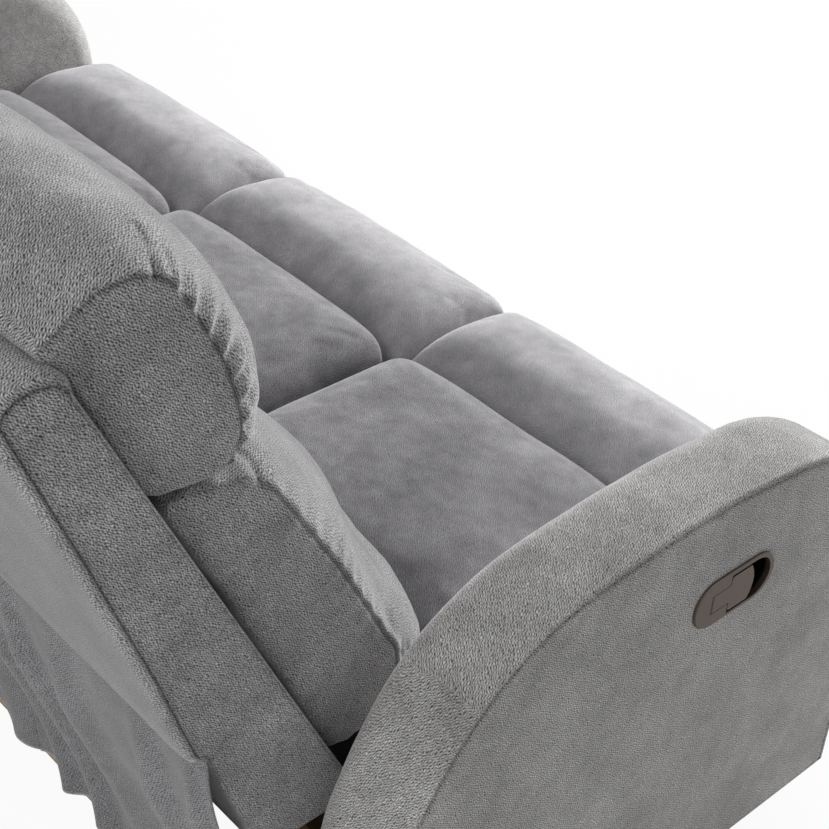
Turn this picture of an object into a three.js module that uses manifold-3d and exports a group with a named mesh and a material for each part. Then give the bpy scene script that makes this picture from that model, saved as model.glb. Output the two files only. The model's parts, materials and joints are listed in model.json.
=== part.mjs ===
// A three-seat sofa with two reclining end seats. Millimetres, +Z up, the sitters face -Y.
// "Right" is the sitter's right hand, at -X. The origin is on the floor under the middle of the sofa.
import * as THREE from 'three';
import { mergeVertices } from 'three/addons/utils/BufferGeometryUtils.js';
import Module from 'manifold-3d';

const wasm = await Module();
wasm.setup();

// Driving dimensions
const overallWidth = 1786;
const armWidth = 125;
const middleSeatWidth = 494;
const footHeight = 38;
const railHeight = 60;
const railDepth = 40;
const seatBase = 358;
const seatCrown = 446;
const seatFront = -470;
const channelY = -249.5;
const cushionRear = 91;
const seatFrameRear = 140;
const armTop = 626;
const armFront = -455;
const armRear = 332;
const backFoot = { z: 338, front: 226, rear: 358 };
const backSlope = 287 / 622;
const backHeadDepth = 64;
const casingCrown = 22;
const lumbarBase = 402;
const lumbarShare = 0.62946;
const pillowTop = 1047;
const pillowRise = 65;
const backSideGap = 13;
const seatSideGap = 3.5;
const clearance = 0.3;
const wall = 14;
const overrun = 5;

const armOuter = overallWidth / 2;
const armInner = armOuter - armWidth;
const grooveX = middleSeatWidth / 2;
const endSeatX = (grooveX + armInner) / 2;
const endSeatHalf = (armInner - grooveX) / 2;
const railTop = footHeight + railHeight;
const backTop = pillowTop - pillowRise;
const lumbarTop = lumbarBase + (pillowTop - lumbarBase) * lumbarShare;

// Finishes
const finishes = {
  weave: { color: 0x7d7c7f, roughness: 0.95, metalness: 0 },
  timber: { color: 0xb08a5a, roughness: 0.7, metalness: 0 },
  darkSteel: { color: 0x33353a, roughness: 0.45, metalness: 0.9 },
  springSteel: { color: 0x6d7075, roughness: 0.35, metalness: 1 },
  bronze: { color: 0x5f5348, roughness: 0.38, metalness: 0.85 },
  blackPlastic: { color: 0x151515, roughness: 0.6, metalness: 0 },
};

const sofa = new THREE.Group();
const body = new THREE.Group();
sofa.add(body);

function place(parent, name, geometry, finish) {
  const mesh = new THREE.Mesh(geometry, new THREE.MeshStandardMaterial(finishes[finish]));
  mesh.name = name;
  parent.add(mesh);
  return mesh;
}

// Solids: a closed geometry is welded by position alone before it is joined or cut
function welded(geometry) {
  const bare = geometry.clone();
  for (const name of Object.keys(bare.attributes)) if (name !== 'position') bare.deleteAttribute(name);
  return mergeVertices(bare, 1e-4);
}

function toSolid(geometry) {
  const shape = welded(geometry);
  return new wasm.Manifold(new wasm.Mesh({
    numProp: 3,
    vertProperties: new Float32Array(shape.attributes.position.array),
    triVerts: new Uint32Array(shape.index.array),
  }));
}

function toGeometry(solid) {
  const mesh = solid.getMesh();
  const geometry = new THREE.BufferGeometry();
  geometry.setAttribute('position', new THREE.BufferAttribute(new Float32Array(mesh.vertProperties), 3));
  geometry.setIndex([...mesh.triVerts]);
  return geometry;
}

const joined = (first, ...rest) => toGeometry(rest.reduce((sum, g) => sum.add(toSolid(g)), toSolid(first)));
const less = (body, tool) => body.subtract(toSolid(tool));
const cut = (body, ...tools) => toGeometry(tools.reduce(less, toSolid(body)));

// A side outline in (y, z), drawn as a shape in (x, y), becomes a board that runs from x0 to x1
const sideways = new THREE.Matrix4().set(0, 0, 1, 0, 1, 0, 0, 0, 0, 1, 0, 0, 0, 0, 0, 1);

// An outline's points, run anticlockwise, as windows in it are expected to be
function anticlockwise(shape, curveSegments) {
  const { shape: outer, holes } = shape.extractPoints(curveSegments);
  const even = new THREE.Shape(THREE.ShapeUtils.isClockWise(outer) ? outer.reverse() : outer);
  even.holes = holes.map((points) => new THREE.Path(points));
  return even;
}

// Each arc of an outline gets twice this many chords unless a call asks for more
const arcFineness = 2;

function board(shape, x0, x1, curveSegments = arcFineness, bevel = 0) {
  const geometry = new THREE.ExtrudeGeometry(anticlockwise(shape, curveSegments), {
    depth: x1 - x0 - 2 * bevel, steps: 1, bevelEnabled: bevel > 0,
    bevelSize: bevel, bevelThickness: bevel, bevelOffset: -bevel, bevelSegments: 2,
  });
  return geometry.translate(0, 0, x0 + bevel).applyMatrix4(sideways);
}

function block(x0, x1, y0, y1, z0, z1) {
  const geometry = new THREE.BoxGeometry(x1 - x0, y1 - y0, z1 - z0);
  return geometry.translate((x0 + x1) / 2, (y0 + y1) / 2, (z0 + z1) / 2);
}

// Pins and the holes that they turn in have as many sides as each other
const pinSides = 10;

function pinX(y, z, radius, x0, x1, sides = pinSides) {
  const geometry = new THREE.CylinderGeometry(radius, radius, Math.abs(x1 - x0), sides);
  return geometry.rotateZ(Math.PI / 2).translate((x0 + x1) / 2, y, z);
}

// The lower and the upper end of a stretch given by its distances from the middle, on one side of it
const span = (side, near, far) => [Math.min(side * near, side * far), Math.max(side * near, side * far)];

// A table of shares becomes points between two corners
const between = (from, to, share) => from + (to - from) * share;
function spread(shares, [y0, z0], [y1, z1]) {
  return shares.map(([u, v]) => [between(y0, y1, u), between(z0, z1, v)]);
}

const polygon = (points) => new THREE.Shape(points.map(([y, z]) => new THREE.Vector2(y, z)));

function roundHole(y, z, radius, sides = pinSides) {
  const points = Array.from({ length: sides }, (_, i) => {
    const angle = (i / sides) * Math.PI * 2;
    return new THREE.Vector2(y + radius * Math.cos(angle), z + radius * Math.sin(angle));
  });
  return new THREE.Path(points);
}

function roundedWindow(y0, y1, z0, z1, radius) {
  const hole = new THREE.Path();
  hole.moveTo(y0 + radius, z0);
  hole.lineTo(y1 - radius, z0);
  hole.quadraticCurveTo(y1, z0, y1, z0 + radius);
  hole.lineTo(y1, z1 - radius);
  hole.quadraticCurveTo(y1, z1, y1 - radius, z1);
  hole.lineTo(y0 + radius, z1);
  hole.quadraticCurveTo(y0, z1, y0, z1 - radius);
  hole.lineTo(y0, z0 + radius);
  hole.quadraticCurveTo(y0, z0, y0 + radius, z0);
  return hole;
}

// Rings of equal length, joined in order and closed at both ends
function loft(rings) {
  const count = rings[0].length;
  const positions = rings.flat().flatMap((p) => [p.x, p.y, p.z]);
  const index = [];
  for (let r = 0; r < rings.length - 1; r++) {
    for (let i = 0; i < count; i++) {
      const a = r * count + i;
      const b = r * count + (i + 1) % count;
      index.push(a, b, b + count, a, b + count, a + count);
    }
  }
  const flat = rings[0].map((p) => new THREE.Vector2(p.y, p.z));
  const last = (rings.length - 1) * count;
  const clockwise = THREE.ShapeUtils.isClockWise(flat);
  for (const face of THREE.ShapeUtils.triangulateShape(flat, [])) {
    const [a, b, c] = clockwise ? face.toReversed() : face;
    index.push(a, c, b, last + a, last + b, last + c);
  }
  const geometry = new THREE.BufferGeometry();
  geometry.setAttribute('position', new THREE.Float32BufferAttribute(positions, 3));
  geometry.setIndex(index);
  return facingOut(geometry);
}

function facingOut(geometry) {
  const p = geometry.attributes.position;
  const ids = geometry.index.array;
  let volume = 0;
  const [a, b, c] = [new THREE.Vector3(), new THREE.Vector3(), new THREE.Vector3()];
  for (let i = 0; i < ids.length; i += 3) {
    a.fromBufferAttribute(p, ids[i]);
    b.fromBufferAttribute(p, ids[i + 1]);
    c.fromBufferAttribute(p, ids[i + 2]);
    volume += a.dot(b.cross(c));
  }
  if (volume > 0) return geometry;
  const turned = [...ids];
  for (let i = 0; i < turned.length; i += 3) [turned[i], turned[i + 1]] = [turned[i + 1], turned[i]];
  geometry.setIndex(turned);
  return geometry;
}

// Upholstery: a side outline swept across x. The middle is full, the ends are drawn in towards the
// seat of the pad, and each end face pulls in between its corners.
const padStationShares = [-1, -0.955, -0.84, -0.5, 0, 0.5, 0.84, 0.955, 1];
const padCrownShare = 0.035;
const padEdgePower = 12;
const padEdgeShare = 0.13;
const padPullShare = 0.014;

function pad(points, halfWidth, seatOn) {
  const outline = points.map(([y, z]) => new THREE.Vector2(y, z));
  const box = new THREE.Box2().setFromPoints(outline);
  const middle = box.getCenter(new THREE.Vector2());
  const half = box.getSize(new THREE.Vector2()).multiplyScalar(0.5);
  const rings = padStationShares.map((t) => {
    const fullness = 1 - padCrownShare * t * t - padEdgeShare * Math.abs(t) ** padEdgePower;
    return outline.map((p) => {
      const u = (p.x - middle.x) / half.x;
      const v = (p.y - middle.y) / half.y;
      const pull = 1 - padPullShare * Math.max(0, 1 - Math.max(u * u, v * v));
      const y = seatOn.x + (p.x - seatOn.x) * fullness;
      const z = seatOn.y + (p.y - seatOn.y) * fullness;
      return new THREE.Vector3(t * halfWidth * pull, y, z);
    });
  });
  return loft(rings);
}

// Arms

// The arm's side outline: an upright front turning over into a long low arch that falls to the rear
const armFrontTurn = 225;
const armTurnDrop = 14;
const armTurnSteps = 7;
const armBottom = footHeight;
const archShares = [
  [0.133, 0.993], [0.258, 1], [0.409, 0.995], [0.527, 0.983], [0.63, 0.959], [0.722, 0.915],
  [0.795, 0.859], [0.875, 0.769], [0.943, 0.65], [0.986, 0.514], [1, 0.36],
];

function armOutline() {
  const points = [new THREE.Vector2(armFront, armBottom)];
  for (let i = 0; i <= armTurnSteps; i++) {
    const turn = (Math.PI / 2) * (i / armTurnSteps);
    const y = armFront + armFrontTurn * (1 - Math.cos(turn));
    points.push(new THREE.Vector2(y, armTop - armTurnDrop - armFrontTurn * (1 - Math.sin(turn))));
  }
  const arch = spread(archShares, [armFront + armFrontTurn, armBottom], [armRear, armTop]);
  for (const [y, z] of arch) points.push(new THREE.Vector2(y, z));
  points.push(new THREE.Vector2(armRear, armBottom));
  return points;
}

const levelMatch = 1e-6;
const onBottom = (p) => p.y <= armBottom + levelMatch;

// The outline moved inwards along its own normals, less and less towards the bottom edge
function inset(outline, distance, fadeHeight = 0) {
  return outline.map((p, i) => {
    const before = outline[(i + outline.length - 1) % outline.length];
    const after = outline[(i + 1) % outline.length];
    const base = onBottom(p);
    const along = base
      ? new THREE.Vector2(0, Math.sign(p.x) * -1)
      : after.clone().sub(before).normalize();
    if (i === 1) along.set(0, 1);
    const fade = fadeHeight ? Math.min(1, (p.y - armBottom) / fadeHeight) : 1;
    return new THREE.Vector2(p.x + along.y * distance * fade, p.y - along.x * distance * fade);
  });
}

const armOuterRound = 6;
const armInnerRound = 43;
const armRoundTurns = [0, 25, 50, 72, 90];
const armFade = 90;

function armBody(side) {
  const outline = armOutline();
  const sections = [[0, armOuterRound], [armOuterRound, 0]];
  for (const turn of armRoundTurns) {
    const angle = THREE.MathUtils.degToRad(turn);
    const run = armWidth - armInnerRound * (1 - Math.sin(angle));
    sections.push([run, armInnerRound * (1 - Math.cos(angle))]);
  }
  const rings = sections.map(([run, drop]) => {
    const x = side * (armOuter - run);
    return inset(outline, drop, armFade).map((p) => new THREE.Vector3(x, p.x, p.y));
  });
  return loft(rings);
}

// Latch: an oval dished bezel let into the arm's outer face, with a flush T-shaped pull
const latchY = -166;
const latchZ = 492;
const bezelHalfLength = 65;
const bezelHalfHeight = 31;
const bezelProud = 3;
const bezelEdge = 1.2;
const cupHalfLength = 58;
const cupHalfHeight = 26.5;
const cupDepth = 27;
const cupWall = 2;
const cupRear = -10;
const cupFineness = 5;

function stadium(halfLength, halfHeight, path = new THREE.Shape()) {
  const run = halfLength - halfHeight;
  path.moveTo(-run, -halfHeight);
  path.lineTo(run, -halfHeight);
  path.absarc(run, 0, halfHeight, -Math.PI / 2, Math.PI / 2, false);
  path.lineTo(-run, halfHeight);
  path.absarc(-run, 0, halfHeight, Math.PI / 2, Math.PI * 1.5, false);
  return path;
}

const cableHole = { y: -205, z: 282, radius: 9 };
const edgePadding = 6;
const cavityInset = wall + edgePadding;

function armCover(side) {
  const hollow = new THREE.Shape(inset(armOutline(), cavityInset).map((p) => (
    onBottom(p) ? new THREE.Vector2(p.x, armBottom - overrun) : p)));
  const cavity = board(hollow, ...span(side, armInner + wall, armOuter - wall));
  const seat = stadium(cupHalfLength + cupWall + clearance, cupHalfHeight + cupWall + clearance);
  const latchCut = board(seat, ...span(side, armOuter - wall - overrun, armOuter + overrun), cupFineness)
    .translate(0, latchY, latchZ);
  const cableCut = pinX(cableHole.y, cableHole.z, cableHole.radius,
    ...span(side, armInner - overrun, armInner + wall + overrun));
  return cut(armBody(side), cavity, latchCut, cableCut);
}

// The timber panel that stiffens the arm, with two windows and spacer blocks
const plyThickness = 18;
const armBlock = 46;
const armBlockFront = armFront + cavityInset + armBlock;
const armBlockRear = armRear - cavityInset - armBlock;

function armFrame(side) {
  const near = armInner + wall + clearance;
  const far = armOuter - wall - clearance;
  const panel = new THREE.Shape(inset(armOutline(), cavityInset + clearance));
  const edge = 3 * armBlock / 2;
  const round = armBlock / 2;
  const middleY = (armFront + armRear - armBlock) / 2;
  const windowTop = armTop - 3 * armBlock;
  const windowLow = armBottom + edge;
  panel.holes.push(roundedWindow(armFront + edge + round, middleY - round, windowLow, windowTop, round));
  panel.holes.push(roundedWindow(middleY + round, armRear - 2 * edge, windowLow, windowTop, round));
  const blocks = [armBlockFront, armBlockRear].map((y) => (
    block(...span(side, near, far), y - armBlock / 2, y + armBlock / 2, armBottom, armBottom + armBlock)));
  const topBlockZ = armTop - cavityInset - armBlock;
  const topBlock = block(...span(side, near, far), -armBlock, armBlock, topBlockZ - round, topBlockZ + round);
  return joined(board(panel, ...span(side, near, near + plyThickness)), ...blocks, topBlock);
}

// The pull is a T: a stem whose rear end turns on a pin, and a head over the finger cup
const pullPinRear = -35.5;
const stemHalf = 12;
const headRear = -9;
const headFront = 31;
const headHalf = 23.5;
const headBow = 3;
const headCorner = 4;
const pullThickness = 5;
const pullGap = 0.8;
const pullPin = { radius: 1.6, reach: 4, play: 0.4 };
const pullRelief = 1.4;

// The outline of the pull, or with a positive growth that of the recess that it lies in
function pullShape(growth) {
  const rear = pullPinRear - (growth ? pullThickness / 2 + growth : 0);
  const [stem, head, back] = [stemHalf + growth, headHalf + growth, headRear - growth];
  const front = headFront - 2 * headCorner + growth;
  const shape = new THREE.Shape();
  shape.moveTo(rear, -stem);
  shape.lineTo(back, -stem);
  shape.lineTo(back, -head + headCorner);
  shape.quadraticCurveTo(back, -head, back + headCorner, -head);
  shape.lineTo(front, -head);
  shape.quadraticCurveTo(headFront + 2 * headBow + growth, 0, front, head);
  shape.lineTo(back + headCorner, head);
  shape.quadraticCurveTo(back, head, back, head - headCorner);
  shape.lineTo(back, stem);
  shape.lineTo(rear, stem);
  return shape;
}

// Latch pieces are drawn with +x towards the sofa's front, then turned onto the arm's outer face
function ontoArm(geometry, side) {
  const turn = new THREE.Matrix4().set(0, 0, side, 0, -1, 0, 0, 0, 0, 1, 0, 0, 0, 0, 0, 1);
  const placed = geometry.clone().applyMatrix4(turn).translate(side * armOuter, latchY, latchZ);
  return facingOut(welded(placed));
}

function plate(shape, z0, z1, curveSegments = cupFineness) {
  const options = { depth: z1 - z0, bevelEnabled: false, steps: 1 };
  return new THREE.ExtrudeGeometry(anticlockwise(shape, curveSegments), options).translate(0, 0, z0);
}

// A short upright rod on the pull's hinge line
function pullRod(radius, halfLength) {
  return new THREE.CylinderGeometry(radius, radius, 2 * halfLength, pinSides)
    .translate(pullPinRear, 0, bezelProud - pullThickness / 2);
}

function latchBezel(side) {
  const rim = new THREE.ExtrudeGeometry(stadium(bezelHalfLength, bezelHalfHeight), {
    depth: bezelProud - clearance - bezelEdge, curveSegments: cupFineness, steps: 1,
    bevelEnabled: true, bevelSegments: 1,
    bevelThickness: bezelEdge, bevelSize: bezelEdge, bevelOffset: -bezelEdge,
  });
  const behind = plate(stadium(bezelHalfLength + overrun, bezelHalfHeight + overrun), -overrun, clearance);
  const flange = cut(rim.translate(0, 0, clearance), behind);
  const cup = plate(stadium(cupHalfLength + cupWall, cupHalfHeight + cupWall), -cupDepth, bezelProud / 2);
  const well = new THREE.Shape();
  const run = cupHalfLength - cupHalfHeight;
  well.moveTo(cupRear, -cupHalfHeight);
  well.lineTo(run, -cupHalfHeight);
  well.absarc(run, 0, cupHalfHeight, -Math.PI / 2, Math.PI / 2, false);
  well.lineTo(cupRear, cupHalfHeight);
  const pocket = plate(well, -cupDepth + cupWall, bezelProud + overrun);
  const recess = plate(pullShape(pullGap), bezelProud - pullThickness - 2 * pullGap, bezelProud + overrun, 4);
  const pinHole = pullRod(pullPin.radius + pullPin.play, stemHalf + pullPin.reach + pullGap);
  return ontoArm(cut(joined(flange, cup), pocket, recess, pinHole), side);
}

function latchPull(side) {
  const under = bezelProud - pullThickness;
  const blade = plate(pullShape(0), under, bezelProud);
  const relief = plate(stadium(headFront / 2, headHalf / 2), under - overrun, under + pullRelief)
    .translate((headRear + headFront) / 2 - headBow, 0, 0);
  const barrel = pullRod(pullThickness / 2, stemHalf);
  const pin = pullRod(pullPin.radius, stemHalf + pullPin.reach);
  return ontoArm(joined(cut(blade, relief), barrel, pin), side);
}

// Base: three long rails that join the arms, and four bearers that tie the rails together
const rearRailInset = 12;
const rearRailY = armRear - railDepth - rearRailInset;
const midRailY = 130;
const frontRailY = -300;
const bearerWidth = 32;
const bearerStep = 8;

function baseFrame() {
  const end = armInner - clearance;
  const rails = [frontRailY, midRailY, rearRailY]
    .map((y) => block(-end, end, y, y + railDepth, footHeight, railTop));
  const bearers = [-1, 1].flatMap((side) => [grooveX, armInner - bearerWidth]
    .map((x) => block(side * x - bearerWidth / 2, side * x + bearerWidth / 2,
      frontRailY + railDepth / 2, rearRailY + railDepth / 2, footHeight, railTop - bearerStep)));
  return joined(...rails, ...bearers);
}

// Feet stand under the spacer blocks of the arm frames
const footTopRadius = 24;
const footSoleRadius = 20;
const footEdge = 3;
const footSides = 12;

function foot(x, y) {
  const top = footHeight - clearance;
  const profile = [
    [0, 0], [footSoleRadius, 0], [footSoleRadius + footEdge / 2, footEdge],
    [footTopRadius, top - 2 * footEdge], [footTopRadius, top], [0, top],
  ].map(([r, z]) => new THREE.Vector2(r, z));
  return new THREE.LatheGeometry(profile, footSides).rotateX(Math.PI / 2).translate(x, y, 0);
}

// Seats: a rail frame with flat slats in front and behind, and sinuous springs between the slats
const frameRail = 26;
const frameDepth = 40;
const slatDepth = 40;
const slatThickness = 18;
const frameSetback = 52;
const plateMargin = 38.5;
const plateX = endSeatHalf - plateMargin;
const plateThickness = 4;
const seatFrameFront = seatFront + frameSetback;
const frameTop = seatBase - clearance;
const endFrameInner = plateX + plateThickness / 2 + clearance;
const endFrameOuter = endFrameInner + frameRail;
const middleFrameOuter = grooveX - seatSideGap - frameRail / 3;
const middleFrameInner = middleFrameOuter - frameRail;

function seatFrame(innerX, outerX) {
  const sides = [-1, 1].map((s) => block(...span(s, innerX, outerX), seatFrameFront, seatFrameRear,
    frameTop - frameDepth, frameTop));
  const slats = [seatFrameFront, seatFrameRear - slatDepth]
    .map((y) => block(-outerX, outerX, y, y + slatDepth, frameTop - slatThickness, frameTop));
  return joined(...sides, ...slats);
}

// A reclining seat's rails are counterbored where the tongs' upper rivets turn against them
function endSeatFrame() {
  const bores = [-1, 1].map((s) => pinX(...spots.rearTop, headRadius + pinPlay,
    ...span(s, endFrameInner - overrun, endFrameInner + headThickness + 3 * pinPlay)));
  return cut(seatFrame(endFrameInner, endFrameOuter), ...bores);
}

// Sinuous springs run from slat to slat, just under the cushion
const springWire = 3.6;
const springCount = 3;
const springLoops = 4;
const springTension = 0.4;
const springReach = 22;
const springEnd = 10;
const springShare = 0.56;

function springs(halfSpan) {
  const z = frameTop - slatThickness / 2;
  const y0 = seatFrameFront + slatDepth + clearance;
  const y1 = seatFrameRear - slatDepth - clearance;
  const half = springWire / 2;
  const wire = polygon([[-half, -half], [half, -half], [half, half], [-half, half]]);
  const spacing = halfSpan * springShare;
  const wires = Array.from({ length: springCount }, (_, k) => {
    const x = (k - (springCount - 1) / 2) * spacing;
    const points = [new THREE.Vector3(x, y0, z), new THREE.Vector3(x, y0 + springEnd, z)];
    for (let i = 1; i <= 2 * springLoops; i++) {
      const side = i % 2 ? 1 : -1;
      const y = between(y0 + springEnd, y1 - springEnd, i / (2 * springLoops + 1));
      points.push(new THREE.Vector3(x + side * springReach, y, z));
    }
    points.push(new THREE.Vector3(x, y1 - springEnd, z), new THREE.Vector3(x, y1, z));
    const extrudePath = new THREE.CatmullRomCurve3(points, false, 'catmullrom', springTension);
    const steps = 4 * springLoops + 4;
    return new THREE.ExtrudeGeometry(wire, { extrudePath, steps, bevelEnabled: false });
  });
  const tieY = (y0 + y1) / 2;
  const tie = block(-spacing, spacing, tieY - half, tieY + half, z - springWire, z);
  return joined(tie, ...wires);
}

// The main cushion, and the separate pad in front of the sewn channel, as shares of their boxes
const channelGap = 3;
const seatShares = [
  [1, 0], [1, 0.45], [0.97, 0.75], [0.87, 0.92], [0.66, 0.99], [0.43, 1], [0.25, 0.965],
  [0.09, 0.875], [0.022, 0.7], [0, 0.477], [0, 0],
];
const seatCushionFront = channelY + channelGap / 2;
const seatCushionOutline = spread(seatShares, [seatCushionFront, seatBase], [cushionRear, seatCrown]);

const stripDrop = 6;
const lipRise = 26;
const lipRound = 10;
const stripShares = [
  [1, 0], [1, 0.5], [0.96, 0.79], [0.85, 0.94], [0.66, 1], [0.43, 1], [0.24, 0.94], [0.1, 0.8], [0.02, 0.6],
];
const frontPadOutline = [
  ...spread(stripShares, [seatFront, seatBase], [channelY - channelGap / 2, seatCrown - stripDrop]),
  [seatFront + clearance, seatBase + lipRise + lipRound], [seatFront + lipRound, seatBase + lipRise],
  [seatFrameFront, seatBase + lipRise], [seatFrameFront, seatBase],
];

// Backs. They lean back from the seat; z and y grow together along the front of the frame.
const alongFront = (z) => backFoot.front + (z - backFoot.z) * backSlope;
const backHeadZ = backTop - casingCrown;
const backHead = { z: backHeadZ, front: alongFront(backHeadZ), rear: alongFront(backHeadZ) + backHeadDepth };
const alongRear = (z) => THREE.MathUtils.mapLinear(z, backFoot.z, backHead.z, backFoot.rear, backHead.rear);

const headRound = 16;

function casingShape() {
  const shape = new THREE.Shape();
  shape.moveTo(backFoot.front, backFoot.z);
  shape.lineTo(backFoot.rear, backFoot.z);
  shape.lineTo(backHead.rear, backHead.z);
  const [topRear, shoulder] = [backHead.rear - headRound, backTop - headRound / 2];
  shape.quadraticCurveTo(backHead.rear + headRound / 4, backTop - headRound, topRear, shoulder);
  shape.lineTo(backHead.front + 2 * headRound, backTop);
  shape.quadraticCurveTo(backHead.front + headRound, backTop, backHead.front, backHead.z);
  return shape;
}

// The upholstered back casing: sides, top and rear skin over the timber frame, open at the front and foot
const casingWall = 15;
const casingEdge = 5;

function backCasing(half) {
  const inside = backHead.z - casingWall / 2;
  const cavity = polygon([
    [backFoot.front - 4 * overrun, backFoot.z - overrun],
    [alongRear(backFoot.z) - casingWall, backFoot.z - overrun],
    [alongRear(inside) - casingWall, inside],
    [backHead.front - overrun, inside],
    [backHead.front - 4 * overrun, inside - casingWall],
  ]);
  const inner = half - casingWall;
  return cut(board(casingShape(), -half, half, 4, casingEdge), board(cavity, -inner, inner));
}

// The timber ladder inside the casing: two stiles and four rails, leaning with the front of the back
const stileWidth = 40;
const ladderThickness = 24;
const ladderFoot = backFoot.z + clearance;
const ladderHead = backHead.z - casingWall;
const ladderRailShares = [0, 0.3, 0.64, 0.93];

function ladderLeaf(low, high) {
  const near = clearance;
  const far = clearance + ladderThickness;
  return polygon([
    [alongFront(low) + near, low], [alongFront(low) + far, low],
    [alongFront(high) + far, high], [alongFront(high) + near, high],
  ]);
}

function backLadder(half) {
  const outer = half - casingWall - clearance;
  const stile = ladderLeaf(ladderFoot, ladderHead);
  const stiles = [-1, 1].map((s) => board(stile, ...span(s, outer - stileWidth, outer)));
  const rails = ladderRailShares.map((share) => {
    const low = between(ladderFoot, ladderHead, share);
    return board(ladderLeaf(low, low + stileWidth), -outer, outer);
  });
  return joined(...stiles, ...rails);
}

// Cushions on the back, as shares of their depth out from it and of their height up it.
// The lumbar cushion leans on the casing, and the head pillow hooks over the top of it.
const cushionGap = 0.6;
const pillowInset = 14;

function onBack(shares, depth, base, top) {
  return shares.map(([u, v]) => {
    const z = between(base, top, v);
    return [alongFront(z) - cushionGap - depth * u, z];
  });
}

const lumbarDepth = 186;
const lumbarShares = [
  [0, 0], [0.79, 0], [0.92, 0.06], [0.976, 0.155], [1, 0.28], [0.995, 0.426], [0.988, 0.6], [0.967, 0.754],
  [0.94, 0.872], [0.87, 0.943], [0.7, 0.985], [0.446, 1], [0, 1],
];
const lumbarOutline = onBack(lumbarShares, lumbarDepth, lumbarBase, lumbarTop);

const pillowBase = lumbarTop + 3 * cushionGap;
const pillowDepth = 187;
const pillowHook = [[21.3, 10.4], [14, 3], [-1.8, -casingCrown]];
const pillowShares = [
  [0, 0], [0.246, 0.004], [0.465, 0.05], [0.68, 0.16], [0.86, 0.34], [0.963, 0.53], [1, 0.735], [0.94, 0.895],
  [0.785, 0.98], [0.572, 1], [0.32, 0.97], [0.095, 0.88],
];
const pillowOutline = [
  ...onBack(pillowShares, pillowDepth, pillowBase, pillowTop),
  ...pillowHook.map(([out, up]) => [backHead.front + out, backTop + up]),
];

// The loose rear cloth hangs from the casing to the rear rail in shallow upright folds
const flapThickness = 4;
const flapTop = 520;
const flapHemRise = 12;
const flapFolds = 5;
const flapFoldDepth = 9;
const flapRows = 4;
const flapLoosenShare = 0.4;

function rearFlap(half) {
  const columns = 4 * flapFolds;
  const hem = footHeight + flapHemRise;
  const [high, low] = [alongRear(flapTop) + clearance, rearRailY + railDepth + clearance];
  const face = (offset) => {
    const rows = [];
    for (let r = 0; r <= flapRows; r++) {
      const drop = r / flapRows;
      const z = between(flapTop, hem, drop);
      const hang = between(high, low, Math.sin(drop * Math.PI / 2) ** 2);
      const swell = flapFoldDepth * Math.min(1, drop / flapLoosenShare);
      rows.push(Array.from({ length: columns + 1 }, (_, c) => {
        const x = half * (2 * c / columns - 1);
        return new THREE.Vector3(x, hang + swell * (0.5 + 0.5 * Math.sin(c * Math.PI / 2)) + offset, z);
      }));
    }
    return rows;
  };
  const [inner, outer] = [face(0), face(flapThickness)];
  const points = [...inner.flat(), ...outer.flat()];
  const width = columns + 1;
  const outerStart = inner.flat().length;
  const index = [];
  const quad = (a, b, c, d) => index.push(a, b, c, a, c, d);
  for (let r = 0; r < flapRows; r++) {
    for (let c = 0; c < columns; c++) {
      const a = r * width + c;
      quad(a, a + 1, a + width + 1, a + width);
      quad(outerStart + a, outerStart + a + width, outerStart + a + width + 1, outerStart + a + 1);
    }
    const [left, right] = [r * width, r * width + columns];
    quad(left, left + width, outerStart + left + width, outerStart + left);
    quad(right + width, right, outerStart + right, outerStart + right + width);
  }
  for (let c = 0; c < columns; c++) {
    const low = flapRows * width + c;
    quad(c + 1, c, outerStart + c, outerStart + c + 1);
    quad(low, low + 1, outerStart + low + 1, outerStart + low);
  }
  const geometry = new THREE.BufferGeometry().setFromPoints(points);
  geometry.setIndex(index);
  return facingOut(geometry);
}

// Recliner mechanism. On each side of a reclining seat a pressed plate carries a lazy-tongs chain:
// rear links cross at a middle pin, front links cross at another, and all bars are alike.
const barLength = 190;
const barWidth = 18;
const barThickness = 4;
const layerPitch = 8;
const pinRadius = 5;
const pinPlay = 0.6;
const headRadius = 8;
const headThickness = 2.2;
const foldedAngle = THREE.MathUtils.degToRad(78);
const footrestTravel = THREE.MathUtils.degToRad(36);
const tongY = -316;
const tongMid = 232.076;
const reach = barLength * Math.cos(foldedAngle);
const rise = barLength * Math.sin(foldedAngle);
const tongZ = tongMid + rise / 2;
const spots = {
  rearTop: [tongY, tongZ], rearLow: [tongY, tongZ - rise],
  crossTop: [tongY - reach, tongZ], crossLow: [tongY - reach, tongZ - rise],
  frontTop: [tongY - 2 * reach, tongZ], frontLow: [tongY - 2 * reach, tongZ - rise],
  rearCross: [tongY - reach / 2, tongZ - rise / 2], frontCross: [tongY - 3 * reach / 2, tongZ - rise / 2],
};
const layerX = (layer) => plateX - layer * layerPitch;

// A flat bar between two spots, with round ends and pin holes at shares of its length
function bar(from, to, layer, holeShares, width = barWidth) {
  const [dy, dz] = [to[0] - from[0], to[1] - from[1]];
  const length = Math.hypot(dy, dz);
  const shape = new THREE.Shape();
  shape.absarc(0, 0, width / 2, Math.PI / 2, Math.PI * 1.5, false);
  shape.absarc(length, 0, width / 2, -Math.PI / 2, Math.PI / 2, false);
  for (const share of holeShares) shape.holes.push(roundHole(length * share, 0, pinRadius + pinPlay));
  const options = { depth: barThickness, bevelEnabled: false, steps: 1 };
  const geometry = new THREE.ExtrudeGeometry(anticlockwise(shape, arcFineness + 1), options);
  return geometry.rotateZ(Math.atan2(dz, dy))
    .translate(from[0], from[1], layerX(layer) - barThickness / 2).applyMatrix4(sideways);
}

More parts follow.
